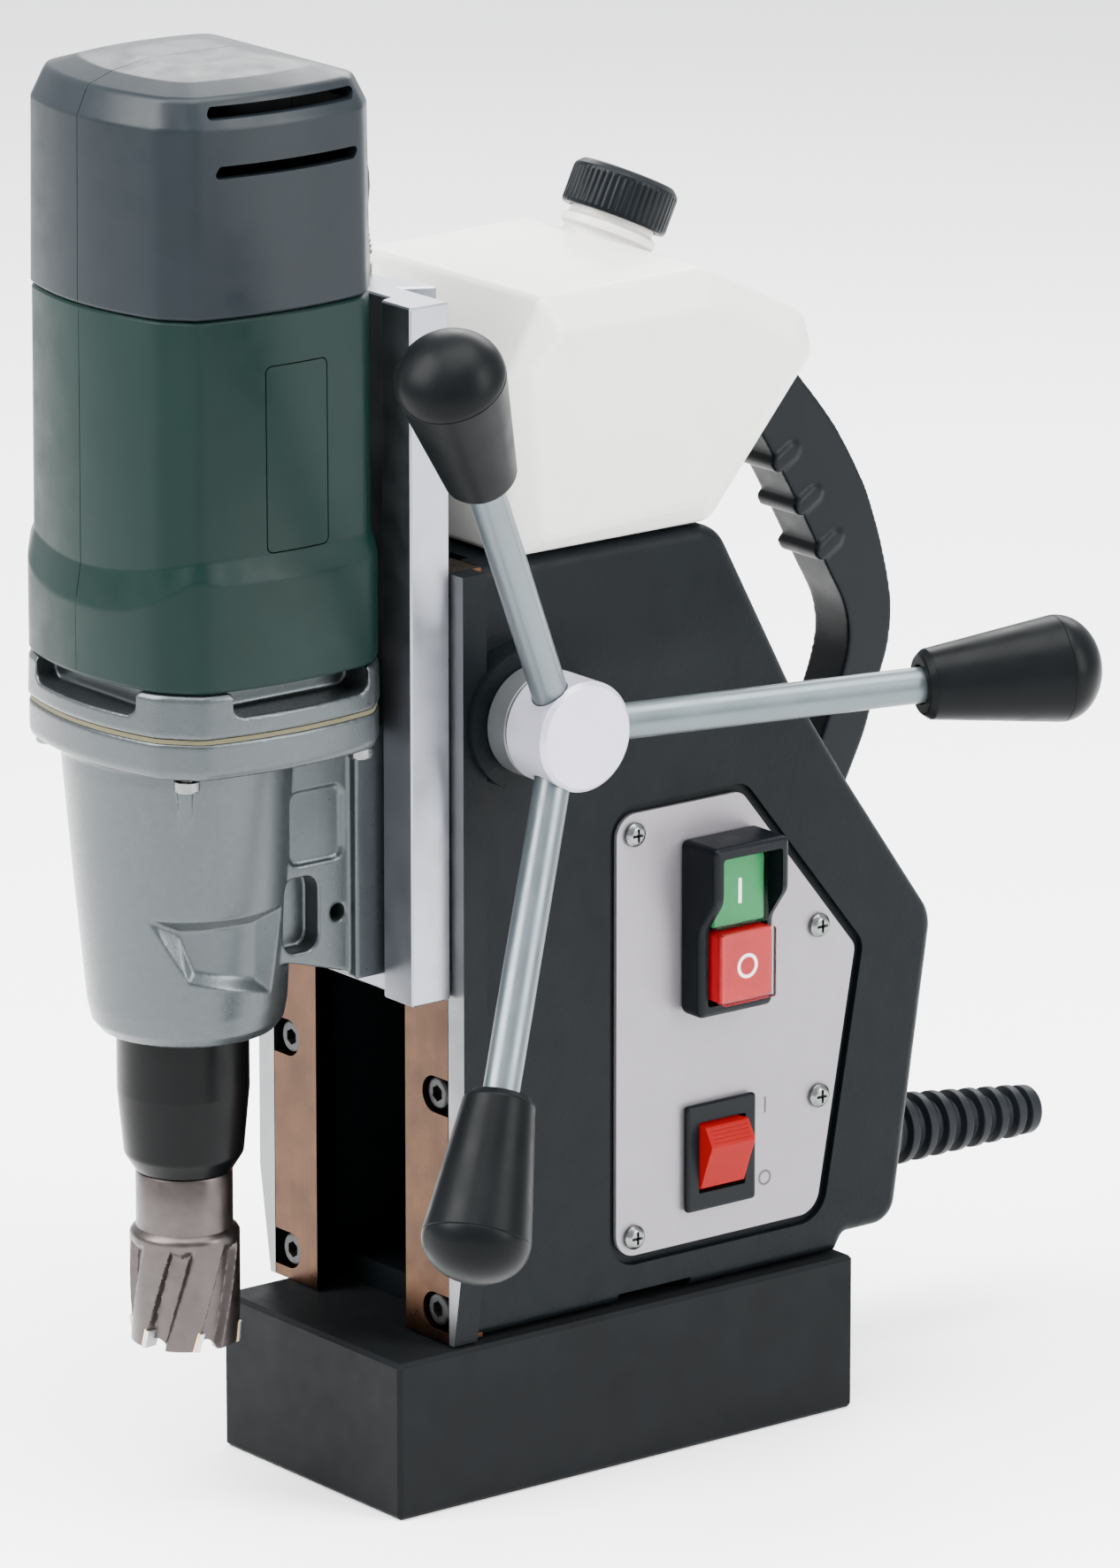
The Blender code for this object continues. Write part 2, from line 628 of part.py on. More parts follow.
def build_spoke(number, centre, rod, black_plastic):
    direction = spoke_direction(number)
    root = Vector(centre)
    piece(f"spoke_{number + 1}", cylinder(root + direction * SPOKE_START, root + direction * SPOKE_END,
                                          SPOKE_RADIUS, 24), rod, centre, smooth=True)
    profile = [(KNOB_START, KNOB_SMALL_RADIUS - 2.4), (KNOB_START + 0.6, KNOB_SMALL_RADIUS - 0.9),
               (KNOB_START + 2.4, KNOB_SMALL_RADIUS)]
    cap = KNOB_END - KNOB_WIDEST
    for step in range(6):
        angle = math.pi / 2 * step / 6
        profile.append((KNOB_WIDEST + cap * math.sin(angle), KNOB_BIG_RADIUS * math.cos(angle)))
    profile.append((KNOB_END, 1.0))
    knob = piece(f"knob_{number + 1}", lathe(profile, centre, direction, 28), black_plastic, centre,
                 smooth=True)
    cut(knob, "bore", cylinder(root + direction * (KNOB_START - 2), root + direction * (SPOKE_END + 1.5),
                               SPOKE_RADIUS + GAP, 24))


# Drill motor.


def motor_ring(z, inset):
    half = MOTOR_OUTLINE
    outline = [(-x, y) for x, y in reversed(half[1:])] + half
    outline = offset(counter_clockwise(outline), min(inset, MOTOR_EVEN_INSET))
    scale = min(1, (MOTOR_HALF - inset) / (MOTOR_HALF - MOTOR_EVEN_INSET))
    return [(MID_X + x * scale, MOTOR_Y + (y - MOTOR_Y) * scale, z) for x, y in outline]


def build_motor(green, charcoal, iron, copper, carbon, steel):
    build_motor_caps(charcoal)
    housing = piece("motor_housing", loft([motor_ring(z, inset) for z, inset in BODY_SECTIONS]), green)
    bevel(housing, 1.2, 2, 20)
    cut(housing, "bore", loft([motor_ring(350, 4.2), motor_ring(236, 4.2)]))
    cut(housing, "name_recess", prism(rounded([(-119.4, 278.5, 2), (-98.9, 278.5, 2), (-98.9, 329.5, 2),
                                               (-119.4, 329.5, 2)]), "X", MID_X + 39.3, MID_X + 45))
    axis = (MID_X, MOTOR_Y, 0)
    piece("stator", tube([(258, 20.5), (258, 30.5), (324, 30.5), (324, 20.5)], axis, (0, 0, 1), 24), iron,
          smooth=True)
    build_armature(axis, steel)
    for side, name in ((1, "brush_right"), (-1, "brush_left")):
        x = MID_X + side * 11.4
        piece(name, box((min(x, x + side * 12), MOTOR_Y - 3, 351), (max(x, x + side * 12), MOTOR_Y + 3, 359)),
              carbon)


def build_motor_caps(charcoal):
    inner = [(CAP_BOTTOM - 2, 3.0), (394.0, 3.4), (400.3, 7.0), (402.6, 15.0)]
    for side, name in ((1, "motor_cap_right"), (-1, "motor_cap_left")):
        cap = piece(name, loft([motor_ring(z, inset) for z, inset in CAP_SECTIONS]), charcoal)
        bevel(cap, 1.6, 2, 12)
        cut(cap, "inside", loft([motor_ring(z, inset) for z, inset in inner]))
        away = sorted((MID_X + side * 0.15, MID_X - side * 60))
        cut(cap, "other_half", box((away[0], -170, 330), (away[1], -60, 420)))
        near, far = sorted((MID_X + side * 24, MID_X + side * 60))
        upper = [(-135.3, 396.8), (-88.0, 396.8), (-86.5, 400.2), (-133.9, 400.2)]
        lower = [(-134.2, 381.2), (-88.5, 381.2), (-86.0, 384.6), (-131.8, 384.6)]
        cut(cap, "slots", merged(prism(upper, "X", near, far), prism(lower, "X", near, far)))


def build_armature(axis, steel):
    profile = [(205.4, 3.0), (246, 3.0), (246, 24), (252, 24), (252, 5), (262, 5), (262, 19.2), (320, 19.2),
               (320, 5), (345, 5), (345, 10.4), (364, 10.4), (364, 4), (384, 4)]
    armature = piece("armature", lathe(profile, axis, (0, 0, 1), 20), steel, axis, smooth=True)
    outline = [(MID_X + a, MOTOR_Y + b) for a, b in gear_outline(8, 1.0, idler_angle_from_motor())]
    join(armature, "pinion", prism(outline, "Z", 206, 218))


def idler_centre():
    half_span = (MOTOR_Y - SPINDLE_Y) / 2
    return MID_X + math.sqrt(IDLER_DISTANCE ** 2 - half_span ** 2), (MOTOR_Y + SPINDLE_Y) / 2


def idler_angle_from_motor():
    x, y = idler_centre()
    return math.atan2(y - MOTOR_Y, x - MID_X)


def idler_angle_from_spindle():
    x, y = idler_centre()
    return math.atan2(y - SPINDLE_Y, x - MID_X)


# Gear case, gears and spindle.


def build_adapter(silver, paper):
    ring = piece("motor_flange", loft([motor_ring(ADAPTER_TOP, -1.9), motor_ring(ADAPTER_BOTTOM, -2.2)]), silver)
    bevel(ring, 0.8, 1, 20)
    cut(ring, "bore", loft([motor_ring(250, 6.0), motor_ring(222, 6.0)]))
    windows = side_box(30, 48, (-131, -86), (WINDOW_BOTTOM, 246))
    front = box((MID_X - 23, -158, WINDOW_BOTTOM), (MID_X + 23, -138, 246))
    cut(ring, "windows", merged(windows, front))
    cut(ring, "screw_holes", case_screw_holes(226, 240))
    gasket = piece("flange_gasket", loft([motor_ring(GASKET_TOP, -1.9), motor_ring(GASKET_BOTTOM, -1.9)]), paper)
    cut(gasket, "bore", loft([motor_ring(250, 6.0), motor_ring(222, 6.0)]))
    cut(gasket, "screw_holes", case_screw_holes(226, 240))


def case_screw_holes(low, high):
    return merged(*[cylinder((MID_X + x, y, low), (MID_X + x, y, high), 2.3, 12) for x, y in CASE_SCREW_POINTS])


def build_gear_case(silver, zinc):
    levels = [(222.0, 31.8, -119.8), (214.0, 31.6, -119.7), (180.0, 29.6, -118.6), (147.0, 27.2, -117.7),
              (142.0, 26.2, -117.6), (139.2, 24.0, -117.6), (NOSE_Z, 21.5, -117.6)]
    rings = [circle((MID_X, y, z), (0, 0, 1), radius, 40) for z, radius, y in levels]
    case = piece("gear_housing", loft(rings), silver, smooth=True)
    join(case, "flange", loft([motor_ring(CASE_TOP, -1.9), motor_ring(CASE_FLANGE_BOTTOM, -1.9)]))
    bracket = [(-112, 160.4), (-100, 158.2), (-81, 152.6), (-77, 152.4), (-77, 222), (-112, 222)]
    join(case, "bracket", prism(bracket, "X", MID_X - BRACKET_HALF, MID_X + BRACKET_HALF))
    join(case, "pad", box((MID_X - BRACKET_HALF - 3, -81, 151),
                          (MID_X + BRACKET_HALF + 3, SLIDE_FRONT_Y + GROOVE_DEPTH - 0.4, 221)))
    join(case, "ribs", merged(corner_rib(1), corner_rib(-1)))
    cut(case, "bracket_pockets", merged(side_box(15, 40, (-104, -91.5), (161, 182)),
                                        side_box(BRACKET_HALF - 2.2, 40, (-110, -83.1), (185.2, 206))))
    cut(case, "pin_hole", cylinder((MID_X - 40, -84.8, 170.1), (MID_X + 40, -84.8, 170.1), 2.2, 16))
    cut(case, "side_recess", recess_shape(6))
    cut(case, "gear_chamber", cylinder((MID_X, -118, 184), (MID_X, -118, 240), 27.2, 32))
    cut(case, "spindle_bore", cylinder((MID_X, SPINDLE_Y, 120), (MID_X, SPINDLE_Y, 190), 8.6))
    cut(case, "sleeve_seat", cylinder((MID_X, SPINDLE_Y, 120), (MID_X, SPINDLE_Y, 143.5), 18.6))
    x, y = idler_centre()
    cut(case, "idler_bore", cylinder((x, y, 176), (x, y, 190), 3.4, 16))
    cut(case, "screw_holes", case_screw_holes(210, 240))
    for number, (px, py) in enumerate(CASE_SCREW_POINTS):
        build_cap_screw(f"flange_screw_{number + 1}", (MID_X + px, py, CASE_FLANGE_BOTTOM - GAP), (0, 0, -1),
                        3.5, 3.2, 2.0, 18, zinc)


def case_point(bearing, radius, z):
    """A point round the gear case's axis; the bearing runs from -Y towards +X."""
    return MID_X + radius * math.sin(bearing), CASE_AXIS_Y - radius * math.cos(bearing), z


def recess_shape(columns):
    """The cutter for the recess: a four-cornered section swept round the case from one end wall to the other."""
    rings = []
    for column in range(columns + 1):
        share = column / columns
        upper = []
        lower = []
        for radius, top, top_z, low, low_z in RECESS_LEVELS:
            top_bearing = math.radians(top[0] + (top[1] - top[0]) * share)
            low_bearing = math.radians(low[0] + (low[1] - low[0]) * share)
            upper.append(case_point(top_bearing, radius, top_z[0] + (top_z[1] - top_z[0]) * share))
            lower.append(case_point(low_bearing, radius, low_z[0] + (low_z[1] - low_z[0]) * share))
        rings.append(upper + lower[::-1])
    return loft(rings)


def corner_rib(side):
    """A gusset that tapers from the flange's front corner down into the cone."""
    rings = []
    for z, reach, half in ((186.0, 28.6, 0.5), (219.5, 35.0, 2.3)):
        bearing = side * RIB_BEARING
        centre = Vector(case_point(bearing, 24.0, z))
        tip = Vector(case_point(bearing, reach, z))
        across = Vector((math.cos(bearing), math.sin(bearing), 0)) * half
        rings.append([tuple(centre - across), tuple(tip - across), tuple(tip + across), tuple(centre + across)])
    return loft(rings)


def build_gears(steel, dark_steel):
    x, y = idler_centre()
    idler_origin = (x, y, 200)
    idler = piece("intermediate_gear", cylinder((x, y, 177), (x, y, 221), 3.0, 16), steel, idler_origin,
                  smooth=True)
    toward_motor = idler_angle_from_motor() + math.pi
    toward_spindle = idler_angle_from_spindle() + math.pi
    big = [(x + a, y + b) for a, b in gear_outline(21, 1.0, toward_motor + math.pi / 21)]
    small = [(x + a, y + b) for a, b in gear_outline(9, 1.0, toward_spindle)]
    join(idler, "big_gear", prism(big, "Z", 206, 216))
    join(idler, "small_gear", prism(small, "Z", 187, 207))
    centre = (MID_X, SPINDLE_Y, 150)
    outline = [(MID_X + a, SPINDLE_Y + b)
               for a, b in gear_outline(20, 1.0, idler_angle_from_spindle() + math.pi / 20)]
    gear = piece("output_gear", prism(outline, "Z", 189, 201), dark_steel, centre)
    cut(gear, "bore", cylinder((MID_X, SPINDLE_Y, 180), (MID_X, SPINDLE_Y, 210), 6.3))
    axis = (MID_X, SPINDLE_Y, 0)
    piece("spindle", lathe([(112.4, 7.9), (188.4, 7.9), (188.4, 5.9), (203.5, 5.9), (204.3, 5.1)], axis,
                           (0, 0, 1), 24), steel, centre, smooth=True)


def build_tooling(black_steel, cutter_steel):
    axis = (MID_X, SPINDLE_Y, 0)
    centre = (MID_X, SPINDLE_Y, 150)
    piece("arbor_sleeve", tube([(98.6, 9.9), (98.6, 13.4), (103.4, 16.4), (121.5, SLEEVE_RADIUS),
                                (142.8, SLEEVE_RADIUS), (142.8, 8.3), (111.8, 8.3), (111.8, 9.9)],
                               axis, (0, 0, 1), 32), black_steel, centre, smooth=True)
    cutter = piece("annular_cutter", loft(cutter_rings()), cutter_steel, centre)
    join(cutter, "shank", lathe([(84, CUTTER_NECK_RADIUS), (98.2, CUTTER_NECK_RADIUS), (98.2, 9.5),
                                 (110.7, 9.5), (111.4, 8.8)], axis, (0, 0, 1), 36))
    cut(cutter, "core", cylinder((MID_X, SPINDLE_Y, 40), (MID_X, SPINDLE_Y, 92), 11.3, 28))
    cut(cutter, "pilot_bore", cylinder((MID_X, SPINDLE_Y, 80), (MID_X, SPINDLE_Y, 120), 3.2, 16))
    cut(cutter, "gullets", merged(*[gullet(tooth) for tooth in range(CUTTER_TEETH)]))


def cutter_rings():
    """Helical lands and flutes below a plain neck."""
    rings = []
    step = 2 * math.pi / CUTTER_TEETH
    levels = [CUTTER_TIP_Z + (CUTTER_TOP_Z - CUTTER_TIP_Z) * i / 6 for i in range(7)]
    radii = [(CUTTER_RADIUS, z) for z in levels]
    radii += [(CUTTER_NECK_RADIUS + 0.05, CUTTER_TOP_Z + 1.2), (CUTTER_NECK_RADIUS, 90.0)]
    for land, z in radii:
        twist = FLUTE_TWIST * (z - CUTTER_TIP_Z)
        ring = []
        for tooth in range(CUTTER_TEETH):
            start = tooth * step + twist
            flute = min(land, 13.0)
            for share, radius in ((0.0, land), (0.29, land), (0.58, land), (0.63, flute), (0.93, flute)):
                angle = start + share * step
                ring.append((MID_X + radius * math.cos(angle), SPINDLE_Y + radius * math.sin(angle), z))
        rings.append(ring)
    return rings


def gullet(tooth):
    """A notch at the end face between two teeth."""
    step = 2 * math.pi / CUTTER_TEETH
    middle = (tooth + 0.8) * step
    centre = Vector((MID_X + 13.2 * math.cos(middle), SPINDLE_Y + 13.2 * math.sin(middle), CUTTER_TIP_Z - 0.6))
    radial = Vector((math.cos(middle), math.sin(middle), 0))
    return cylinder(centre - radial * 4, centre + radial * 4, 3.1, 8)


# Motor lead between the motor cap and the slide.


def build_motor_lead(rubber, spring_steel, zinc):
    """A strain-relief elbow, a protecting spring and the fitting that takes the lead into the slide."""
    steps = [(-76.8, 380.0, 0, 5.6), (-71.5, 379.4, 14, 5.6), (-65.6, 376.0, 42, 5.4), (-61.6, 370.0, 66, 5.0),
             (-59.9, 363.0, 82, 4.3), (-59.4, 357.2, 84, 3.4)]
    rings = []
    for y, z, turn, radius in steps:
        angle = math.radians(turn)
        rings.append(circle((MID_X, y, z), (0, math.cos(angle), -math.sin(angle)), radius, 16))
    piece("lead_boot", loft(rings), rubber, smooth=True)
    start = Vector((MID_X, -59.3, 356.7))
    foot = Vector((MID_X, LEAD_FITTING_Y, SLIDE_TOP + 5.4))
    axis = foot - start
    turns = 7
    profile = []
    for turn in range(turns):
        for share, radius in ((0.0, 2.0), (0.3, 2.8), (0.7, 2.8)):
            profile.append((axis.length * (turn + share) / turns, radius))
    piece("lead_spring", lathe(profile, start, axis, 12), spring_steel, smooth=True)
    piece("lead_fitting", lathe([(0, 2.6), (2.6, 2.6), (2.6, 2.1), (4.8, 2.1)],
                                (MID_X, LEAD_FITTING_Y, SLIDE_TOP + GAP), (0, 0, 1), 12), zinc)


# Control panel.


def build_panel(plate_mat, zinc, black_plastic, green, red, rocker_red):
    outline = counter_clockwise(rounded(PANEL_OUTLINE))
    plate = piece("panel_plate", prism(outline, "X", PANEL_X, PANEL_X + PANEL_THICK), plate_mat)
    cut(plate, "rocker_hole", box((PANEL_X - 2, 24.2, 71.9), (PANEL_X + 4, 43.3, 95.1)))
    cut(plate, "screw_holes", merged(*[cylinder((25, y, z), (40, y, z), 2.1, 12)
                                       for y, z in PANEL_SCREW_POINTS]))
    face = PANEL_X + PANEL_THICK + GAP
    for number, (y, z) in enumerate(PANEL_SCREW_POINTS):
        head = [(-6, 1.7), (0, 1.7), (0, 3.5), (0.8, 3.3), (1.6, 2.5), (2.1, 1.2)]
        screw = piece(f"panel_screw_{number + 1}", lathe(head, (face, y, z), (1, 0, 0), 16), zinc, smooth=True)
        cut(screw, "cross_level", box((face + 1.0, y - 2.0, z - 0.45), (face + 3, y + 2.0, z + 0.45)))
        cut(screw, "cross_upright", box((face + 1.0, y - 0.45, z - 2.0), (face + 3, y + 0.45, z + 2.0)))
    build_shroud(face, black_plastic, green, red)
    build_rocker(face, black_plastic, rocker_red)


def build_shroud(face, black_plastic, green, red):
    profile = [(face, SHROUD_Z[0]), (face + 9.0, SHROUD_Z[0]), (face + 9.0, 151.5), (face + 15.8, 160.5),
               (face + 15.8, SHROUD_Z[1]), (face, SHROUD_Z[1])]
    shroud = piece("switch_shroud", prism([(x, z) for x, z in profile], "Y", *SHROUD_Y), black_plastic)
    bevel(shroud, 1.2, 2, 30)
    cut(shroud, "inside", box((face + 1.6, 23.2, 129.2), (face + 30, 44.0, 173.0)))
    for name, low, high, reach, mat in (("start_button", 151.6, 171.0, 11.5, green),
                                        ("stop_button", 130.6, 150.4, 15.0, red)):
        centre = (face + reach, 33.6, (low + high) / 2)
        button = piece(name, box((face + 4.9, 24.6, low), (face + reach, 42.6, high)), mat, centre)
        bevel(button, 0.6)


def build_rocker(face, black_plastic, rocker_red):
    bezel = piece("rocker_bezel", box((face, 21.4, 68.0), (face + 2.4, 46.0, 99.0)), black_plastic)
    bevel(bezel, 0.9, 2, 30)
    join(bezel, "body", box((22, 24.6, 72.3), (face + 1, 42.9, 94.7)))
    cut(bezel, "inside", box((24, 25.6, 73.3), (face + 10, 41.9, 93.7)))
    origin = (ROCKER_PIVOT[0], 33.75, ROCKER_PIVOT[1])
    outline = [(32, 78.5), (32, 88.5), (35.5, 92.6), (41.2, 92.9), (44.4, 87.6), (39.3, 74.4), (36.0, 74.2)]
    rocker = piece("magnet_rocker", prism(outline, "Y", 26.1, 41.4), rocker_red, origin)
    bevel(rocker, 0.4)


def build_control_board(board_green):
    board = piece("control_board", box((-22, 5, 105), (-20.4, 62, 168)), board_green)
    join(board, "relay", box((-21, 12, 112), (-6, 30, 138)))
    join(board, "rectifier", box((-21, 36, 118), (-12, 54, 130)))
    cut(board, "fixing_holes", merged(*[cylinder((-25, y, z), (-18, y, z), 1.6, 10)
                                        for y, z in ((8, 108), (59, 108), (8, 165), (59, 165))]))


# Tank, handle and cable boot.


def tank_rings(side, outer, shrink):
    """Rings across the machine's width, moved inwards by the shrink."""
    half = TANK_HALF - shrink
    rings = []
    for x, outline in ((half, side), (half - TANK_SHOULDER, outer), (-half + TANK_SHOULDER, outer), (-half, side)):
        ring = offset(counter_clockwise(outline), shrink) if shrink else counter_clockwise(outline)
        rings.append([(MID_X + x, y, z) for y, z in ring])
    return rings


def neck_axis():
    return Vector((0, math.sin(NECK_TILT), math.cos(NECK_TILT)))


def build_tank(milky, black_plastic):
    axis = neck_axis()
    tank = piece("coolant_tank", loft(tank_rings(TANK_SIDE, TANK_OUTER, 0)), milky, smooth=True)
    bevel(tank, 2.6, 2, 15)
    join(tank, "neck", lathe([(-5, 12), (2.6, 12), (3.2, 13.6), (5.2, 13.6), (5.8, 12), (17.5, 12)], NECK_FOOT,
                             axis, 32))
    cut(tank, "inside", loft(tank_rings(TANK_SIDE, TANK_OUTER, TANK_WALL)))
    cut(tank, "neck_bore", cylinder(NECK_FOOT - axis * 8, NECK_FOOT + axis * 30, 9.8, 32))
    start = NECK_FOOT + axis * 7.8
    cap = piece("tank_cap", lathe([(0, 15.0), (1.2, 15.4), (10.6, 15.4), (12.4, 14.4), (13.2, 12.6)], start,
                                  axis, 32), black_plastic, tuple(start), smooth=True)
    cut(cap, "inside", cylinder(start - axis * 2, start + axis * 11.2, 12.6, 32))


def build_handle(black_plastic):
    outline = HANDLE_OUTER + HANDLE_INNER
    handle = piece("carry_handle", prism(outline, "X", MID_X - HANDLE_HALF, MID_X + HANDLE_HALF), black_plastic)
    bevel(handle, 2.2, 2, 60)
    along = Vector((0, 0.52, -0.85))
    across = Vector((0, 0.85, 0.52))
    ridges = []
    for y, z in GRIP_RIDGES:
        centre = Vector((MID_X, y, z)) + across * 3.6
        ridges.append(ridge_shape(centre, along, across))
    for number, shape in enumerate(ridges):
        join(handle, f"ridge_{number}", shape)


def ridge_shape(centre, along, across):
    """A raised bar across the grip's inner side, wrapping onto both flanks."""
    half_width = HANDLE_HALF + 1.0
    rings = []
    for x in (-half_width, half_width):
        ring = []
        for a, c in ((-2.4, -5.2), (2.4, -5.2), (2.4, 3.4), (0.9, 5.4), (-0.9, 5.4), (-2.4, 3.4)):
            ring.append(tuple(centre + Vector((x, 0, 0)) + along * a + across * c))
        rings.append(ring)
    return loft(rings)


def boot_axis():
    return Vector((0, math.cos(BOOT_DROOP), -math.sin(BOOT_DROOP)))


def build_boot(rubber):
    axis = boot_axis()
    profile = [(-9.0, 8.2), (0.4, 8.2), (0.4, 12.4), (4.0, 12.4)]
    for rib in range(BOOT_RIBS):
        start = 4.8 + rib * BOOT_PITCH
        radius = 12.2 - 5.0 * (start + 5) / BOOT_LENGTH
        profile.extend([(start, radius - 2.2), (start + 3.2, radius - 2.2), (start + 3.8, radius),
                        (start + 6.4, radius)])
    profile.extend([(BOOT_LENGTH - 7.0, 5.6), (BOOT_LENGTH - 5.4, 5.6), (BOOT_LENGTH - 5.0, 7.3),
                    (BOOT_LENGTH - 1.4, 7.1), (BOOT_LENGTH, 5.8)])
    rings = []
    for s, radius in profile:
        tilt = BOOT_DROOP + (BOOT_WALL_TILT - BOOT_DROOP) * min(1, max(0, 1 - (s - 4) / 9))
        rings.append(circle(BOOT_ROOT + axis * s, (0, math.cos(tilt), -math.sin(tilt)), radius, 20))
    boot = piece("cable_boot", loft(rings), rubber, smooth=True)
    cut(boot, "cable_bore", cylinder(BOOT_ROOT - axis * 20, BOOT_ROOT + axis * (BOOT_LENGTH + 5), 4.4, 20))


def main():
    clear_scene()
    foot_steel = material("foot_black", (0.025, 0.028, 0.03), 0.55, 0.3)
    copper = material("copper_winding", (0.7, 0.33, 0.16), 0.4, 0.9)
    resin = material("potting_resin", (0.03, 0.03, 0.032), 0.5)
    paint = material("column_paint", (0.028, 0.031, 0.034), 0.5)
    bronze = material("gib_bronze", (0.62, 0.38, 0.2), 0.35, 1.0)
    black_steel = material("black_steel", (0.03, 0.03, 0.032), 0.4, 0.7)
    aluminium = material("brushed_aluminium", (0.72, 0.73, 0.74), 0.35, 1.0)
    steel = material("bright_steel", (0.55, 0.55, 0.56), 0.3, 1.0)
    silver = material("silver_casting", (0.5, 0.52, 0.54), 0.45, 0.5)
    rod = material("spoke_satin", (0.5, 0.52, 0.54), 0.4, 0.7)
    black_plastic = material("black_plastic", (0.02, 0.021, 0.024), 0.5)
    green = material("motor_green", (0.025, 0.085, 0.066), 0.5)
    charcoal = material("charcoal_plastic", (0.055, 0.065, 0.07), 0.5)
    zinc = material("zinc_screw", (0.6, 0.62, 0.6), 0.3, 1.0)
    iron = material("stator_iron", (0.3, 0.2, 0.15), 0.5, 0.6)
    carbon = material("brush_carbon", (0.04, 0.04, 0.04), 0.6)
    paper = material("gasket_paper", (0.2, 0.19, 0.08), 0.8)
    cutter_steel = material("cutter_steel", (0.42, 0.37, 0.34), 0.35, 1.0)
    rubber = material("black_rubber", (0.018, 0.019, 0.02), 0.6)
    plate_mat = material("panel_aluminium", (0.72, 0.68, 0.67), 0.4, 0.6)
    start_green = material("start_green", (0.06, 0.35, 0.14), 0.35)
    stop_red = material("stop_red", (0.6, 0.06, 0.06), 0.35)
    rocker_red = material("rocker_red", (0.65, 0.02, 0.015), 0.25)
    board_green = material("board_green", (0.03, 0.16, 0.07), 0.5)
    milky = material("milky_polyethylene", (0.82, 0.82, 0.78), 0.45)

    build_foot(foot_steel, copper, resin)
    build_column(paint)
    build_gibs(bronze, black_steel)
    build_slide(aluminium, steel)
    build_feed(steel, silver, rod, black_plastic)
    build_motor(green, charcoal, iron, copper, carbon, steel)
    build_adapter(silver, paper)
    build_gear_case(silver, zinc)
    build_gears(steel, steel)
    build_tooling(black_steel, cutter_steel)
    build_motor_lead(rubber, zinc, zinc)
    build_panel(plate_mat, zinc, black_plastic, start_green, stop_red, rocker_red)
    build_control_board(board_green)
    build_tank(milky, black_plastic)
    build_handle(black_plastic)
    build_boot(rubber)


main()
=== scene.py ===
import json
import math

import bmesh
import bpy
from mathutils import Matrix, Vector


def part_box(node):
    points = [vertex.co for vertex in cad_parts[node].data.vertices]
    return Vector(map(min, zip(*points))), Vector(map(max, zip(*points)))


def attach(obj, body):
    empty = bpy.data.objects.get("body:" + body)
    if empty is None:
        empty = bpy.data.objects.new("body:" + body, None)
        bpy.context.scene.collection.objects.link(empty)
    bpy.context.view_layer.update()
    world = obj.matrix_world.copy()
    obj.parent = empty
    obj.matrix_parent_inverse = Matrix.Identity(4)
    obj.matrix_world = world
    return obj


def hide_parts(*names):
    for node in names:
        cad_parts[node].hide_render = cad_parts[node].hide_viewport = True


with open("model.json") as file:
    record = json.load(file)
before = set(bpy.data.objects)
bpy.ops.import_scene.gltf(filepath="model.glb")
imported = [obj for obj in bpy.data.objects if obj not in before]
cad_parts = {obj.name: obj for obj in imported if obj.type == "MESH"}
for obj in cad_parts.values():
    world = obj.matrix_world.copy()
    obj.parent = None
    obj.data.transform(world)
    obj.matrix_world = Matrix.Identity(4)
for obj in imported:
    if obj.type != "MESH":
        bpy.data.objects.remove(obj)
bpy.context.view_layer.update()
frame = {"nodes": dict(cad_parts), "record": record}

MM = 0.001

# Camera: a long lens, so the machine's uprights stay nearly parallel.
CAMERA_AZIMUTH = 52.3
CAMERA_ELEVATION = 15.5
CAMERA_DISTANCE = 2.93
CAMERA_LENS = 243.0
CAMERA_TARGET = (0.0, 0.007, 0.186)
FLOOR_HALF = 12.0
WORLD_STRENGTH = 1.7


# Places, in millimetres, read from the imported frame.


def corners(node):
    low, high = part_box(node)
    return low / MM, high / MM


def middle(node):
    low, high = corners(node)
    return (low + high) / 2


JOINTS = {joint["name"]: joint for joint in frame["record"]["behaviour"]["joints"]}


def pivot(name):
    return Vector(JOINTS[name]["pos_m"]) / MM


MID_X = pivot("spindle_spin").x
SPINDLE_Y = pivot("spindle_spin").y
MOTOR_Y = pivot("armature_spin").y
FEED_Y = pivot("feed_turn").y
FEED_Z = pivot("feed_turn").z


# Shapes, in millimetres: each is (points, faces).


def box(low, high):
    points = [(x, y, z) for x in (low[0], high[0]) for y in (low[1], high[1]) for z in (low[2], high[2])]
    return points, [(0, 1, 3, 2), (4, 6, 7, 5), (0, 4, 5, 1), (2, 3, 7, 6), (0, 2, 6, 4), (1, 5, 7, 3)]


def merged(*shapes):
    points = []
    faces = []
    for shape_points, shape_faces in shapes:
        start = len(points)
        points.extend(shape_points)
        faces.extend(tuple(index + start for index in face) for face in shape_faces)
    return points, faces


def loft(rings, closed=False):
    """A solid through rings of equal length, capped at both ends or closed on itself."""
    count = len(rings[0])
    points = [tuple(point) for ring in rings for point in ring]
    faces = []
    if not closed:
        faces = [tuple(range(count)), tuple((len(rings) - 1) * count + i for i in reversed(range(count)))]
    for level in range(len(rings) - (0 if closed else 1)):
        low = level * count
        high = (level + 1) % len(rings) * count
        for i in range(count):
            j = (i + 1) % count
            faces.append((low + i, high + i, high + j, low + j))
    return points, faces


def lay(outline, axis, at):
    """A flat outline stood at a place along an axis: (y, z) for X, (x, z) for Y, (x, y) for Z."""
    order = {"X": lambda a, b: (at, a, b), "Y": lambda a, b: (a, at, b), "Z": lambda a, b: (a, b, at)}[axis]
    return [order(a, b) for a, b in outline]


def prism(outline, axis, start, end):
    return loft([lay(outline, axis, start), lay(outline, axis, end)])


def both_sides(outline, near, far):
    """The same prism on both sides of the machine's middle plane."""
    return prism(outline, "X", MID_X + near, MID_X + far), prism(outline, "X", MID_X - far, MID_X - near)


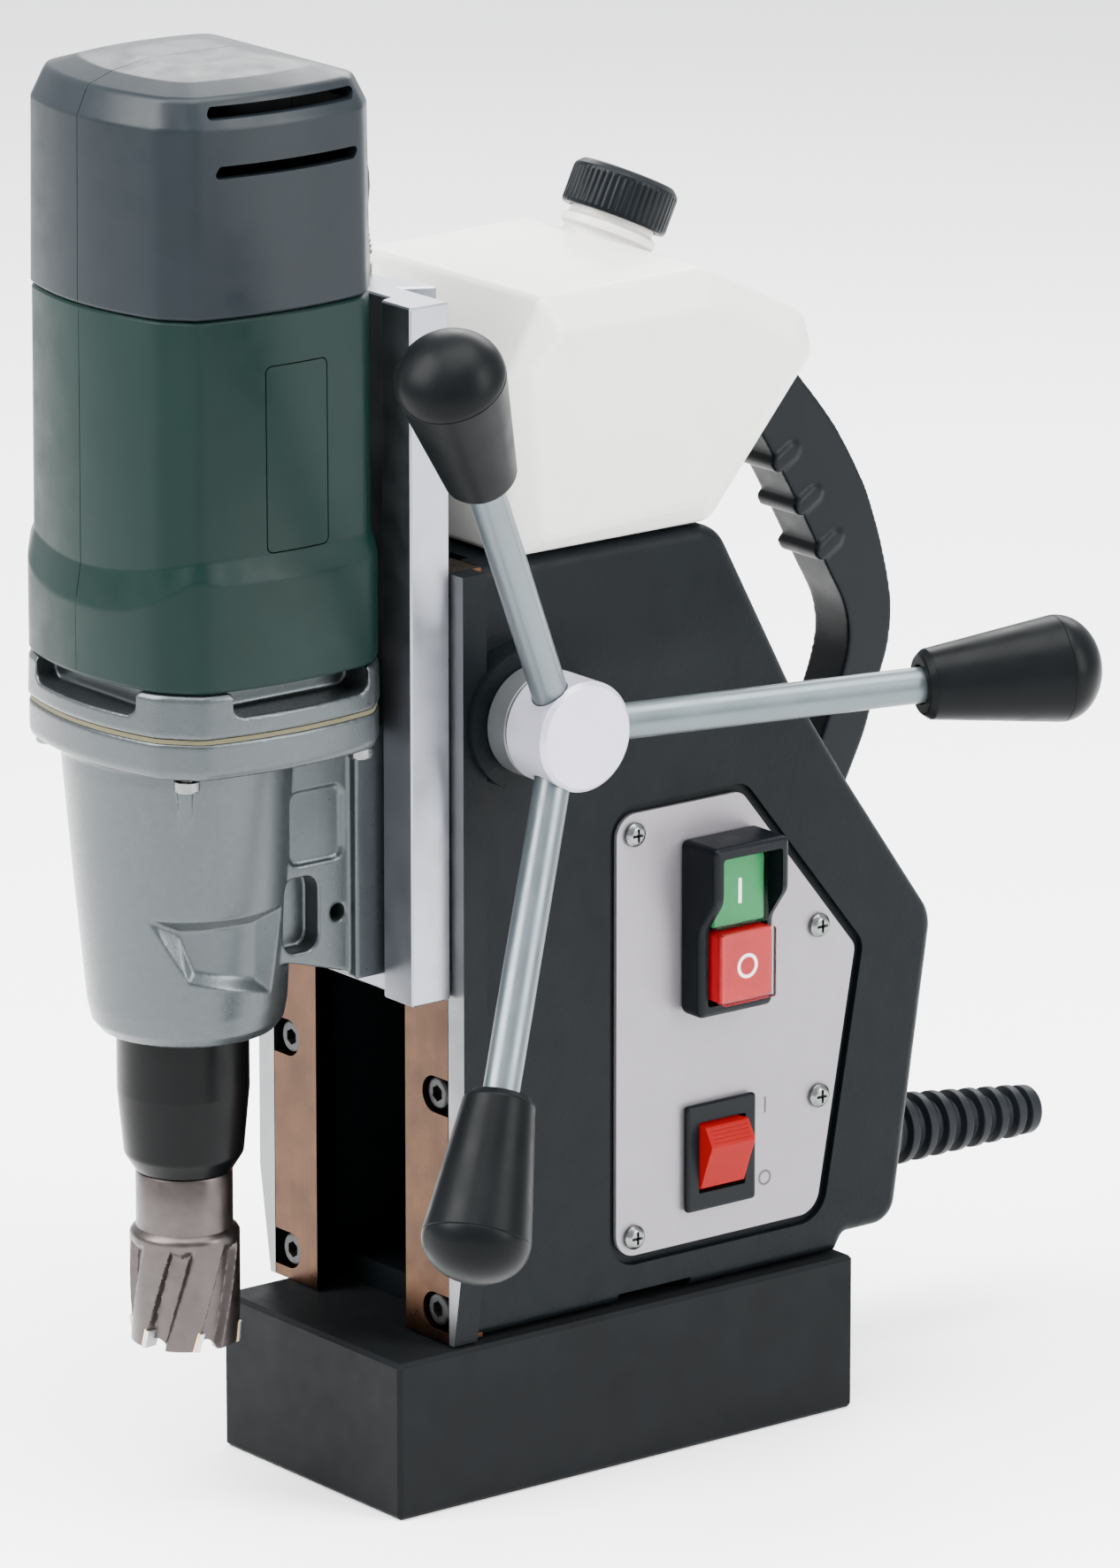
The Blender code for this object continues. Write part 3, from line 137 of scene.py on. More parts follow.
def groove_ring(outer, inner, axis, start, end):
    """The space between two outlines of equal length."""
    return loft([lay(outer, axis, start), lay(outer, axis, end), lay(inner, axis, end),
        lay(inner, axis, start)], closed=True)


def circle(centre, axis, radius, segments):
    axis = Vector(axis).normalized()
    side = Vector((1, 0, 0)) if abs(axis.x) < 0.9 else Vector((0, 1, 0))
    across = axis.cross(side).normalized()
    up = axis.cross(across)
    turns = [2 * math.pi * i / segments for i in range(segments)]
    return [Vector(centre) + (across * math.cos(turn) + up * math.sin(turn)) * radius for turn in turns]


def turned(profile, origin, axis, segments=72, hollow=False):
    """A solid of revolution from (distance along the axis, radius) steps; a hollow one closes on itself."""
    along = Vector(axis).normalized()
    rings = [circle(Vector(origin) + along * s, along, r, segments) for s, r in profile]
    return loft(rings, closed=hollow)


def cylinder(start, end, radius, segments=48):
    along = Vector(end) - Vector(start)
    return turned([(0, radius), (along.length, radius)], start, along, segments)


def feed_bar(start, end, radius, segments):
    """A bar along X on the feed shaft's axis."""
    return cylinder((start, FEED_Y, FEED_Z), (end, FEED_Y, FEED_Z), radius, segments)


def spindle_bar(low, high, radius, segments=96):
    return cylinder((MID_X, SPINDLE_Y, low), (MID_X, SPINDLE_Y, high), radius, segments)


def area(outline):
    return sum(a[0] * b[1] - b[0] * a[1] for a, b in zip(outline, outline[1:] + outline[:1])) / 2


def counter_clockwise(outline):
    return outline if area([point[:2] for point in outline]) > 0 else outline[::-1]


def offset(outline, distance):
    """Moves each edge of a convex, counter-clockwise outline inwards by the distance."""
    lines = []
    for i, point in enumerate(outline):
        a = Vector(point)
        along = (Vector(outline[(i + 1) % len(outline)]) - a).normalized()
        lines.append((a + Vector((-along.y, along.x)) * distance, along))
    moved = []
    for i in range(len(outline)):
        p, d = lines[i - 1]
        q, e = lines[i]
        cross = d.x * e.y - d.y * e.x
        moved.append(tuple(p + d * (((q - p).x * e.y - (q - p).y * e.x) / cross)))
    return moved


def rounded(corners, steps=6, closed=True):
    """Turns each (x, y, radius) corner into an arc; an open path keeps its two ends."""
    outline = []
    count = len(corners)
    for i in range(count):
        here = Vector(corners[i][:2])
        radius = corners[i][2]
        if not radius or (not closed and i in (0, count - 1)):
            outline.append(tuple(here))
            continue
        back = (Vector(corners[i - 1][:2]) - here).normalized()
        ahead = (Vector(corners[(i + 1) % count][:2]) - here).normalized()
        half = back.angle(ahead) / 2
        centre = here + (back + ahead).normalized() * (radius / math.sin(half))
        first = here + back * (radius / math.tan(half)) - centre
        last = here + ahead * (radius / math.tan(half)) - centre
        sweep = first.angle_signed(last)
        for step in range(steps + 1):
            outline.append(tuple(centre + Matrix.Rotation(-sweep * step / steps, 2) @ first))
    return outline


def rectangle(low, high, radius=0, steps=6):
    return rounded([(low[0], low[1], radius), (high[0], low[1], radius), (high[0], high[1], radius),
                    (low[0], high[1], radius)], steps)


def resampled(outline, count):
    """The same closed outline as evenly spaced points."""
    closed = [Vector(point) for point in outline] + [Vector(outline[0])]
    lengths = [0.0]
    for a, b in zip(closed, closed[1:]):
        lengths.append(lengths[-1] + (b - a).length)
    points = []
    edge = 0
    for i in range(count):
        target = lengths[-1] * i / count
        while lengths[edge + 1] < target:
            edge += 1
        share = (target - lengths[edge]) / max(lengths[edge + 1] - lengths[edge], 1e-9)
        points.append(closed[edge].lerp(closed[edge + 1], share))
    return points


def softened(points, passes):
    for _ in range(passes):
        count = len(points)
        points = [(points[i - 1] + points[i] * 2 + points[(i + 1) % count]) / 4 for i in range(count)]
    return [tuple(point) for point in points]


def contour(corners, count, passes):
    """A closed outline through (x, y, sag) corners; each edge bulges outwards by its sag."""
    dense = []
    for i, (x, y, sag) in enumerate(corners):
        a = Vector((x, y))
        along = Vector(corners[(i + 1) % len(corners)][:2]) - a
        outward = Vector((along.y, -along.x)).normalized()
        for step in range(20):
            share = step / 20
            dense.append(a + along * share + outward * (4 * sag * share * (1 - share)))
    return softened(resampled(dense, count), passes)


# Objects.

HELPERS = []


def link(obj):
    bpy.context.scene.collection.objects.link(obj)
    return obj


def blank(name, shape):
    mesh = bpy.data.meshes.new(name)
    mesh.from_pydata([Vector(point) * MM for point in shape[0]], [], shape[1])
    shell = bmesh.new()
    shell.from_mesh(mesh)
    bmesh.ops.recalc_face_normals(shell, faces=shell.faces)
    bmesh.ops.triangulate(shell, faces=[face for face in shell.faces if len(face.verts) > 4])
    shell.to_mesh(mesh)
    shell.free()
    return link(bpy.data.objects.new(name, mesh))


def boolean(obj, operation, shape):
    cutter = blank("cutter", shape)
    cutter.hide_render = True
    HELPERS.append(cutter)
    modifier = obj.modifiers.new("shape", "BOOLEAN")
    modifier.operation = operation
    modifier.solver = "EXACT"
    modifier.object = cutter


def cut(obj, *shapes):
    for shape in shapes:
        boolean(obj, "DIFFERENCE", shape)


def join(obj, *shapes):
    for shape in shapes:
        boolean(obj, "UNION", shape)


def bevel(obj, width, segments=3, angle=35):
    modifier = obj.modifiers.new("edges", "BEVEL")
    modifier.width = width * MM
    modifier.segments = segments
    modifier.limit_method = "ANGLE"
    modifier.angle_limit = math.radians(angle)
    modifier.miter_outer = "MITER_ARC"


def cast(obj, voxel, passes):
    """Remakes the surface as an even skin and softens its edges, as on a cast or blown part."""
    skin = obj.modifiers.new("skin", "REMESH")
    skin.mode = "VOXEL"
    skin.voxel_size = voxel * MM
    soft = obj.modifiers.new("soft", "SMOOTH")
    soft.factor = 0.5
    soft.iterations = passes


def place(obj, finish, body, nodes=(), slot=None, sharp=30, even=True):
    """Fixes the shape, gives it its finish and rides it on its body."""
    bpy.context.view_layer.update()
    graph = bpy.context.evaluated_depsgraph_get()
    mesh = bpy.data.meshes.new_from_object(obj.evaluated_get(graph))
    obj.modifiers.clear()
    obj.data = mesh
    for cutter in HELPERS:
        bpy.data.objects.remove(cutter, do_unlink=True)
    HELPERS.clear()
    mesh.shade_smooth()
    mesh.set_sharp_from_angle(angle=math.radians(sharp))
    if even:
        modifier = obj.modifiers.new("even_normals", "WEIGHTED_NORMAL")
        modifier.keep_sharp = True
    mesh.materials.clear()
    mesh.materials.append(FINISH[finish])
    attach(obj, body)
    if nodes:
        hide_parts(*nodes)
    return obj


def paint(obj, finish, chosen):
    """Gives the faces that the test chooses a second finish."""
    obj.data.materials.append(FINISH[finish])
    index = len(obj.data.materials) - 1
    for face in obj.data.polygons:
        if chosen(face.center / MM, face.normal):
            face.material_index = index


# Drill motor: two charcoal caps over a green housing on a cast ring.

CAP_LOW = corners("motor_cap_right")[0].z
CAP_TOP = corners("motor_cap_right")[1].z
HOUSING_LOW = corners("motor_housing")[0].z
HOUSING_TOP = corners("motor_housing")[1].z
RING_LOW = corners("motor_flange")[0].z
RING_TOP = corners("motor_flange")[1].z
CASE_TOP = corners("gear_housing")[1].z

# The motor's plan about its own axis: (x, y, how far the edge that follows bulges).
MOTOR_PLAN = [(-28.9, -31.7, 4.9), (28.9, -31.7, 0), (37.3, -24.4, 3.3), (38.2, 30.1, 0), (30.5, 37.4, 0),
              (-30.5, 37.4, 0), (-38.2, 30.1, 3.3), (-37.3, -24.4, 0)]
MOTOR_HALF = 38.0
EVEN_INSET = 8.0
PLAN_POINTS = 230
FLARE = 1.9


def motor_plan(inset, passes=2):
    even = offset([corner[:2] for corner in MOTOR_PLAN], min(inset, EVEN_INSET))
    plan = contour([(x, y, corner[2]) for (x, y), corner in zip(even, MOTOR_PLAN)], PLAN_POINTS, passes)
    scale = min(1.0, (MOTOR_HALF - inset) / (MOTOR_HALF - EVEN_INSET))
    return [(MID_X + x * scale, MOTOR_Y + y * scale) for x, y in plan]


def motor_ring(z, inset, passes=2):
    return lay(motor_plan(inset, passes), "Z", z)


def motor_solid(levels, passes=2):
    """A solid through (height, inset) levels of the motor's plan."""
    return loft([motor_ring(z, inset, passes) for z, inset in levels])


def build_motor_caps():
    """Each cap is half of a crowned cover with two cooling slots in its side."""
    wall_top = CAP_LOW + 50.8
    profile = rounded([(CAP_LOW, 0.7, 0), (CAP_LOW + 0.7, 0.0, 0.4), (wall_top, 0.6, 3.5),
        (CAP_TOP - 4.6, 4.2, 3.0), (CAP_TOP - 1.8, 12.5, 6.0), (CAP_TOP, 24.0, 20.0), (CAP_TOP, 36.5, 0)],
        5, closed=False)
    inner = [(CAP_LOW - 2, 3.0), (wall_top, 3.4), (CAP_TOP - 6.5, 7.0), (CAP_TOP - 4.2, 15.0)]
    for side, name in ((1, "motor_cap_right"), (-1, "motor_cap_left")):
        cap = blank(f"{name}_shell", motor_solid(profile))
        cut(cap, motor_solid(inner))
        away = sorted((MID_X + side * 0.12, MID_X - side * 70))
        cut(cap, box((away[0], MOTOR_Y - 60, CAP_LOW - 10), (away[1], MOTOR_Y + 60, CAP_TOP + 10)))
        near, far = sorted((MID_X + side * 24, MID_X + side * 60))
        for front, back, low in ((-20.7, 26.6, CAP_TOP - 10.0), (-19.6, 26.1, CAP_TOP - 25.6)):
            slot = rounded([(MOTOR_Y + front, low, 1.2), (MOTOR_Y + back, low, 1.2),
                (MOTOR_Y + back + 2.4, low + 3.4, 1.2), (MOTOR_Y + front + 2.2, low + 3.4, 1.2)], 4)
            cut(cap, prism(slot, "X", near, far))
        bevel(cap, 0.45, 2, 50)
        place(cap, "moulded_charcoal", "carriage", [name], "motor_charcoal")


def flare_ring(low_share, inset, front_height, side_height):
    """A ring of the housing's flare, whose front part lies lower in the middle than at its corners."""
    ring = []
    for x, y in motor_plan(inset - FLARE * low_share, 2 + round(6 * low_share)):
        wide = min(1.0, abs(x - MID_X) / 37.3)
        front = 1.0 if y < MOTOR_Y - 24 else max(0.0, 1 - (y - MOTOR_Y + 24) / 6)
        ring.append((x, y, side_height + (front_height(wide) - side_height) * front))
    return ring


def build_motor_housing():
    crease = HOUSING_LOW + 20.0
    rings = [motor_ring(HOUSING_TOP, 1.0), motor_ring(HOUSING_TOP - 0.7, 0.3)]
    for share, up in ((0, 1.2), (0.02, 0.5), (0.1, 0.0)):
        rings.append(flare_ring(share, 0, lambda wide: crease + 9.5 + 5.5 * wide ** 2 + up,
            crease + 15 + up))
    for share, up in ((0.9, 0.6), (0.98, -0.1), (1.0, -1.2)):
        rings.append(flare_ring(share, 0, lambda wide: crease + 10.5 * wide ** 3 + up, crease + 9 + up))
    for inset, z in ((0, HOUSING_LOW + 1.0), (0.7, HOUSING_LOW)):
        rings.append(flare_ring(1.0, inset, lambda wide: z, z))
    housing = blank("motor_housing_shell", loft(rings))
    cut(housing, motor_solid([(HOUSING_TOP + 10, 4.2), (HOUSING_LOW - 10, 4.2)]))
    front = MOTOR_Y - 36.6
    seam = [(front - 9, HOUSING_LOW - 2), (front - FLARE + 0.1, HOUSING_LOW - 2),
        (front - FLARE + 0.1, crease), (front + 0.35, crease + 9.5), (front + 0.35, HOUSING_TOP + 2),
        (front - 9, HOUSING_TOP + 2)]
    cut(housing, prism(seam, "X", MID_X - 0.13, MID_X + 0.13))
    low = Vector((MOTOR_Y - 4.8, HOUSING_LOW + 35.8))
    high = Vector((MOTOR_Y + 15.7, HOUSING_LOW + 86.8))
    groove = Vector((0.35, 0.35))
    outer = rectangle(low, high, 2.0)
    inner = rectangle(low + groove, high - groove, 1.7)
    cut(housing, groove_ring(outer, inner, "X", MID_X + 39.2, MID_X + 45))
    place(housing, "moulded_green", "carriage", ["motor_housing"], "motor_green")


RING_WALL = 12.8
RING_WINDOW_FROM = 30.2


def build_motor_ring():
    rim = [(RING_TOP, -1.0), (RING_TOP - 1.2, -1.9), (RING_LOW + 0.8, -2.2), (RING_LOW, -1.7)]
    ring = blank("motor_ring_casting", motor_solid(rim, 4))
    cut(ring, motor_solid([(RING_TOP + 5, RING_WALL), (RING_LOW - 5, RING_WALL)]))
    sill = RING_LOW + 5.2
    side = rectangle((MOTOR_Y - 16.4, sill), (MOTOR_Y + 28.6, sill + 20), 3.5)
    front = rectangle((MID_X - 23, sill), (MID_X + 23, sill + 20), 3.5)
    cut(ring, *both_sides(side, RING_WINDOW_FROM, 50), prism(front, "Y", MOTOR_Y - 44, MOTOR_Y - 29))
    cast(ring, 0.5, 3)
    place(ring, "silver_casting", "carriage", ["motor_flange"], "gear_case_silver", 180, False)
    low, high = corners("flange_gasket")
    paper = blank("ring_gasket", motor_solid([(high.z + 0.25, -1.55), (low.z - 0.25, -1.55)], 4))
    cut(paper, motor_solid([(high.z + 5, 6.0), (low.z - 5, 6.0)]))
    place(paper, "olive_paper", "carriage", ["flange_gasket"], "gasket_paper")


# Gear case.

CASE_AXIS_Y = SPINDLE_Y + 1.1
CASE_FLANGE_LOW = CASE_TOP - 10.5
BRACKET_HALF = 24.6
# The recess in the gear case's side, outwards from its floor: the radius, the bearings of the two ends
# of its top edge (degrees from -Y towards +X), the edge's heights, and the same for its lower edge.
RECESS_LEVELS = [
    (25.6, (49.9, 102.0), (172.2, 173.0), (59.5, 100.0), (160.9, 156.9)),
    (28.5, (38.6, 115.5), (175.2, 175.2), (55.4, 113.0), (157.7, 150.6)),
    (31.4, (27.3, 124.0), (178.2, 177.4), (51.3, 121.0), (154.5, 144.3)),
]


def case_point(bearing, radius, z):
    """A point round the gear case's axis; the bearing runs from -Y towards +X."""
    return MID_X + radius * math.sin(bearing), CASE_AXIS_Y - radius * math.cos(bearing), z


def recess(columns):
    rings = []
    for column in range(columns + 1):
        share = column / columns
        upper = []
        lower = []
        for radius, top, top_z, low, low_z in RECESS_LEVELS:
            top_bearing = math.radians(top[0] + (top[1] - top[0]) * share)
            low_bearing = math.radians(low[0] + (low[1] - low[0]) * share)
            upper.append(case_point(top_bearing, radius, top_z[0] + (top_z[1] - top_z[0]) * share))
            lower.append(case_point(low_bearing, radius, low_z[0] + (low_z[1] - low_z[0]) * share))
        rings.append(upper + lower[::-1])
    return loft(rings)


def gusset(side):
    bearing = side * math.radians(55)
    rings = []
    for z, reach, half in ((186.0, 28.6, 0.5), (CASE_TOP - 9.4, 35.0, 2.3)):
        centre = Vector(case_point(bearing, 24.0, z))
        tip = Vector(case_point(bearing, reach, z))
        across = Vector((math.cos(bearing), math.sin(bearing), 0)) * half
        rings.append([centre - across, tip - across, tip + across, centre + across])
    return loft(rings)


def build_gear_case():
    levels = [(222.0, 31.8, -119.8), (214.0, 31.6, -119.7), (180.0, 29.6, -118.6), (147.0, 27.2, -117.7),
              (142.0, 26.2, -117.6), (139.2, 24.0, -117.6), (corners("gear_housing")[0].z, 21.5, -117.6)]
    case = blank("gear_case_casting", loft([circle((MID_X, y, z), (0, 0, 1), r, 128)
                                            for z, r, y in levels]))
    rim = [(CASE_TOP, -1.7), (CASE_TOP - 0.6, -1.95), (CASE_FLANGE_LOW + 2.4, -1.9),
        (CASE_FLANGE_LOW + 0.7, -1.2), (CASE_FLANGE_LOW, 0.8)]
    join(case, motor_solid(rim, 4))
    bracket = rounded([(-112, 160.4, 0), (-100, 158.2, 4), (-81, 152.6, 3), (-77, 152.4, 0), (-77, 222, 0),
                       (-112, 222, 0)])
    join(case, prism(bracket, "X", MID_X - BRACKET_HALF, MID_X + BRACKET_HALF))
    join(case, box((MID_X - BRACKET_HALF - 3, -81, 151), (MID_X + BRACKET_HALF + 3, -69.5, 221)))
    join(case, gusset(1), gusset(-1))
    deep = rectangle((-103, 161), (-91.5, 182), 4)
    shallow = rectangle((-101, 185.2), (-83.1, 206), 3)
    cut(case, *both_sides(deep, 18.5, 40), *both_sides(shallow, BRACKET_HALF - 1.2, 40))
    cut(case, cylinder((MID_X - 40, -84.8, 170.1), (MID_X + 40, -84.8, 170.1), 2.4, 32))
    cut(case, recess(24))
    cut(case, cylinder((MID_X, -118, 184), (MID_X, -118, 240), 27.2, 96))
    cut(case, spindle_bar(120, 190, 9.0, 48))
    cut(case, spindle_bar(120, 143.5, 19.0))
    cast(case, 0.52, 3)
    place(case, "silver_casting", "carriage", ["gear_housing"], "gear_case_silver", 180, False)


def hex_screw(name, seat, axis, head, height, shank, length, finish, body, slot, socket=0.52):
    """A socket screw with a rounded head, its seat at the head's underside."""
    profile = [(-length, shank), (0.0, shank), (0.0, head - 0.2), (0.2, head), (height - 0.6, head),
               (height - 0.2, head - 0.25), (height, head - 0.7)]
    screw = blank(f"{name}_turned", turned(profile, seat, axis, 48))
    cut(screw, turned([(height * 0.45, head * socket), (height + 1, head * socket)], seat, axis, 6))
    bevel(screw, 0.12, 2, 60)
    place(screw, finish, body, [name], slot)


def build_case_screws():
    for number in range(1, 5):
        name = f"flange_screw_{number}"
        low, high = corners(name)
        centre = middle(name)
        hex_screw(name, (centre.x, centre.y, low.z + 3.2), (0, 0, -1), 3.5, 3.2, 2.0, high.z - low.z - 3.2,
                  "zinc_plate", "carriage", "zinc_screw")


# Lead into the motor: an elbow boot, a spring and the fitting on the slide.

COIL_TURNS = 8
COIL_RADIUS = 2.3
WIRE_RADIUS = 0.5
LEAD_RADIUS = 1.6


def build_motor_lead():
    steps = [(-76.8, 380.0, 0, 5.6), (-74.0, 380.0, 6, 5.7), (-71.5, 379.4, 14, 5.6),
        (-68.4, 378.0, 28, 5.5), (-65.6, 376.0, 42, 5.4), (-63.4, 373.2, 55, 5.2), (-61.6, 370.0, 66, 5.0),
        (-60.6, 366.6, 75, 4.7), (-59.9, 363.0, 82, 4.3), (-59.4, 357.2, 84, 3.4)]
    rings = []
    for y, z, turn, radius in steps:
        angle = math.radians(turn)
        rings.append(circle((MID_X, y, z), (0, math.cos(angle), -math.sin(angle)), radius, 40))
    place(blank("lead_elbow", loft(rings)), "black_rubber", "carriage", ["lead_boot"], "black_rubber", 60)
    low, high = corners("lead_spring")
    build_spring(Vector((MID_X, -59.3, high.z - 0.3)), Vector((MID_X, -57.2, low.z + 0.2)))
    low, high = corners("lead_fitting")
    fitting = blank("lead_gland", turned([(0, 2.6), (2.6, 2.6), (2.6, 2.1), (high.z - low.z, 2.1)],
                                         (MID_X, (low.y + high.y) / 2, low.z), (0, 0, 1), 40))
    bevel(fitting, 0.3)
    place(fitting, "zinc_plate", "carriage", ["lead_fitting"], "zinc_screw")


def build_spring(start, end):
    """A close-wound wire helix with the lead inside it."""
    along = end - start
    axis = along.normalized()
    side = Vector((1, 0, 0))
    up = axis.cross(side)
    steps = COIL_TURNS * 16
    rings = []
    for step in range(steps + 1):
        angle = 2 * math.pi * step / 16
        radial = side * math.cos(angle) + up * math.sin(angle)
        centre = start + along * (step / steps) + radial * COIL_RADIUS
        ring = [centre + (radial * math.cos(turn) + axis * math.sin(turn)) * WIRE_RADIUS
                for turn in (2 * math.pi * i / 8 for i in range(8))]
        rings.append(ring)
    lead = turned([(0.2, LEAD_RADIUS), (along.length - 0.2, LEAD_RADIUS)], start, axis, 16)
    wire = merged(loft(rings), lead)
    place(blank("lead_coil_spring", wire), "zinc_plate", "carriage", ["lead_spring"], "zinc_screw", 60,
        False)


# Column casting.

FOOT_TOP = corners("magnet_foot")[1].z
COLUMN_TOP = corners("column_frame")[1].z
COLUMN_FRONT = corners("column_frame")[0].y
COLUMN_HALF = 41.0
FLANGE_HALF = 47.3
FLANGE_HALF_FOOT = 42.5
FLANGE_TAPER_TOP = 76.0
GIB_SEAT_Y = -47.4
EDGE_ROUND = 4.0
SIDE_PROFILE = [
    (COLUMN_FRONT + 0.3, FOOT_TOP + 0.3, 0), (COLUMN_FRONT + 0.3, COLUMN_TOP - 0.2, 0),
    (33.8, COLUMN_TOP - 0.2, 12), (60.0, 214.5, 20), (80.0, 184.0, 30), (112.0, 138.5, 12), (98.6, 50.0, 8),
    (80.5, 50.0, 3), (77.6, FOOT_TOP + 0.3, 0),
]
PANEL_FACE = corners("panel_plate")[1].x
PANEL_BACK = corners("panel_plate")[0].x
PANEL_OUTLINE = [(-1.6, 58.8, 6.5), (-1.6, 186.0, 6.5), (42.0, 186.0, 5.0), (83.0, 134.5, 4.0),
    (69.5, 58.8, 7.0)]


def build_column():
    outline = counter_clockwise(rounded(SIDE_PROFILE, 14))
    rings = []
    for side in (-1, 1):
        turns = [math.radians(15 * step) for step in range(7)]
        for turn in turns[::side]:
            depth = EDGE_ROUND * (1 - math.sin(turn))
            inset = EDGE_ROUND * (1 - math.cos(turn))
            x = MID_X + side * (COLUMN_HALF - depth)
            rings.append(lay(offset(outline, inset), "X", x))
    column = blank("column_casting", loft(rings))
    low = FOOT_TOP + 0.6
    flange = [(MID_X - FLANGE_HALF_FOOT, low), (MID_X + FLANGE_HALF_FOOT, low),
              (MID_X + FLANGE_HALF, FLANGE_TAPER_TOP), (MID_X + FLANGE_HALF, COLUMN_TOP),
              (MID_X - FLANGE_HALF, COLUMN_TOP), (MID_X - FLANGE_HALF, FLANGE_TAPER_TOP)]
    join(column, prism(flange, "Y", COLUMN_FRONT, COLUMN_FRONT + 8))
    boss = corners("shaft_collar")[0].x - 0.3
    join(column, feed_bar(MID_X + COLUMN_HALF - 2, boss, 20, 96))
    join(column, feed_bar(MID_X - COLUMN_HALF - 5, MID_X - COLUMN_HALF + 2, 16, 96))
    cut(column, box((MID_X - 36, GIB_SEAT_Y + 2, 53), (MID_X + 36, -12, 257)))
    cut(column, box((MID_X - 30, COLUMN_FRONT - 2, 40), (MID_X + 30, GIB_SEAT_Y + 3, 270)))
    cut(column, box((MID_X - 40.3, COLUMN_FRONT - 2, 40), (MID_X + 40.3, GIB_SEAT_Y, 270)))
    hollow = [(-6, 58), (-6, 256), (30, 256), (54, 212), (74, 181), (103, 137), (92, 58)]
    cut(column, prism(hollow, "X", MID_X - 36, MID_X + 36))
    pocket = offset(counter_clockwise(rounded(PANEL_OUTLINE, 10)), -2.6)
    cut(column, prism(pocket, "X", PANEL_BACK - 0.3, MID_X + COLUMN_HALF + 5))
    window = offset(counter_clockwise([corner[:2] for corner in PANEL_OUTLINE]), 10.5)
    cut(column, prism(window, "X", MID_X + 30, PANEL_BACK + 1))
    cut(column, box((MID_X - 60, -1, 40), (MID_X + 60, 24.5, 48.6)))
    cut(column, feed_bar(MID_X - 70, MID_X + 70, 8.6, 64))
    cut(column, cylinder(BOOT_ROOT - BOOT_AXIS * 22, BOOT_ROOT + BOOT_AXIS * 12, 9.0))
    bevel(column, 0.9, 3, 40)
    place(column, "powder_coat", "machine_base", ["column_frame"], "column_paint", 28)
    paint(column, "bare_cast", lambda at, normal: at.y < COLUMN_FRONT + 0.9 and normal.y < -0.3)


# Gibs and their screws.

GIB_INNER = 20.6
GIB_OUTER = 40.0
GIB_SLOPE = math.tan(math.radians(30))
HEAD_POCKET = 5.2


def build_gibs():
    for side, name in ((1, "gib_right"), (-1, "gib_left")):
        low, high = corners(name)
        bevelled = GIB_INNER + (high.y - low.y) * GIB_SLOPE
        outline = [(MID_X + side * GIB_INNER, low.y), (MID_X + side * GIB_OUTER, low.y),
                   (MID_X + side * GIB_OUTER, high.y), (MID_X + side * bevelled, high.y)]
        gib = blank(f"{name}_strip", prism(outline, "Z", low.z, high.z))
        heads = [middle(f"gib_screw_{number}") for number in range(1, 5)]
        for head in heads:
            if (head.x - MID_X) * side < 0:
                continue
            mouth = head.x + side * 12
            pocket = [(mouth, head.z + HEAD_POCKET), (mouth, head.z - HEAD_POCKET)]
            for step in range(25):
                angle = -math.pi / 2 + math.pi * step / 24
                pocket.append((head.x - side * HEAD_POCKET * math.cos(angle),
                               head.z + HEAD_POCKET * math.sin(angle)))
            cut(gib, prism(pocket, "Y", low.y - 2, low.y + 6))
            cut(gib, cylinder((head.x, low.y + 3, head.z), (head.x, high.y + 2, head.z), 2.9))
        bevel(gib, 0.4, 2, 40)
        place(gib, "scraped_bronze", "machine_base", [name], "gib_bronze")
    for number in range(1, 5):
        name = f"gib_screw_{number}"
        low, high = corners(name)
        centre = middle(name)
        hex_screw(name, (centre.x, low.y + 4.4, centre.z), (0, -1, 0), 4.6, 4.4, 2.5, high.y - low.y - 4.4,
                  "black_oxide", "machine_base", "black_steel")


# Panel, its screws, the switch shroud with two buttons, and the rocker.


def screw_head(name):
    """A pan-head screw with a cross recess."""
    low, high = corners(name)
    centre = (low + high) / 2
    face = high.x - 2.1
    head = rounded([(-6, 1.7, 0), (0, 1.7, 0), (0, 3.5, 0.2), (0.9, 3.45, 0.5), (2.1, 2.2, 1.2),
        (2.15, 0.4, 0)], 4, closed=False)
    screw = blank(f"{name}_turned", turned(head, (face, centre.y, centre.z), (1, 0, 0), 48))
    for turn in (0.0, math.pi / 2):
        across = Vector((0, math.cos(turn), math.sin(turn)))
        along = Vector((0, -math.sin(turn), math.cos(turn)))
        rings = []
        for depth, half_length, half_width in ((0.5, 0.9, 0.25), (3.0, 2.6, 0.5)):
            at = Vector((face + depth, centre.y, centre.z))
            rings.append([at + along * a * half_length + across * b * half_width
                          for a, b in ((-1, -1), (1, -1), (1, 1), (-1, 1))])
        cut(screw, loft(rings))
    bevel(screw, 0.08, 1, 50)
    place(screw, "zinc_plate", "machine_base", [name], "zinc_screw")


def build_panel():
    outline = counter_clockwise(rounded(PANEL_OUTLINE, 10))
    plate = blank("panel_sheet", prism(outline, "X", PANEL_BACK, PANEL_FACE))
    low, high = corners("rocker_bezel")
    cut(plate, box((PANEL_BACK - 2, low.y + 2.8, low.z + 3.9),
        (PANEL_FACE + 2, high.y - 2.7, high.z - 3.9)))
    bevel(plate, 0.35, 3, 40)
    place(plate, "brushed_panel", "machine_base", ["panel_plate"], "panel_aluminium")
    for number in range(1, 5):
        screw_head(f"panel_screw_{number}")
    build_shroud()
    build_button("start_button", "start_green", "start_green")
    build_button("stop_button", "stop_red", "stop_red")
    build_rocker()


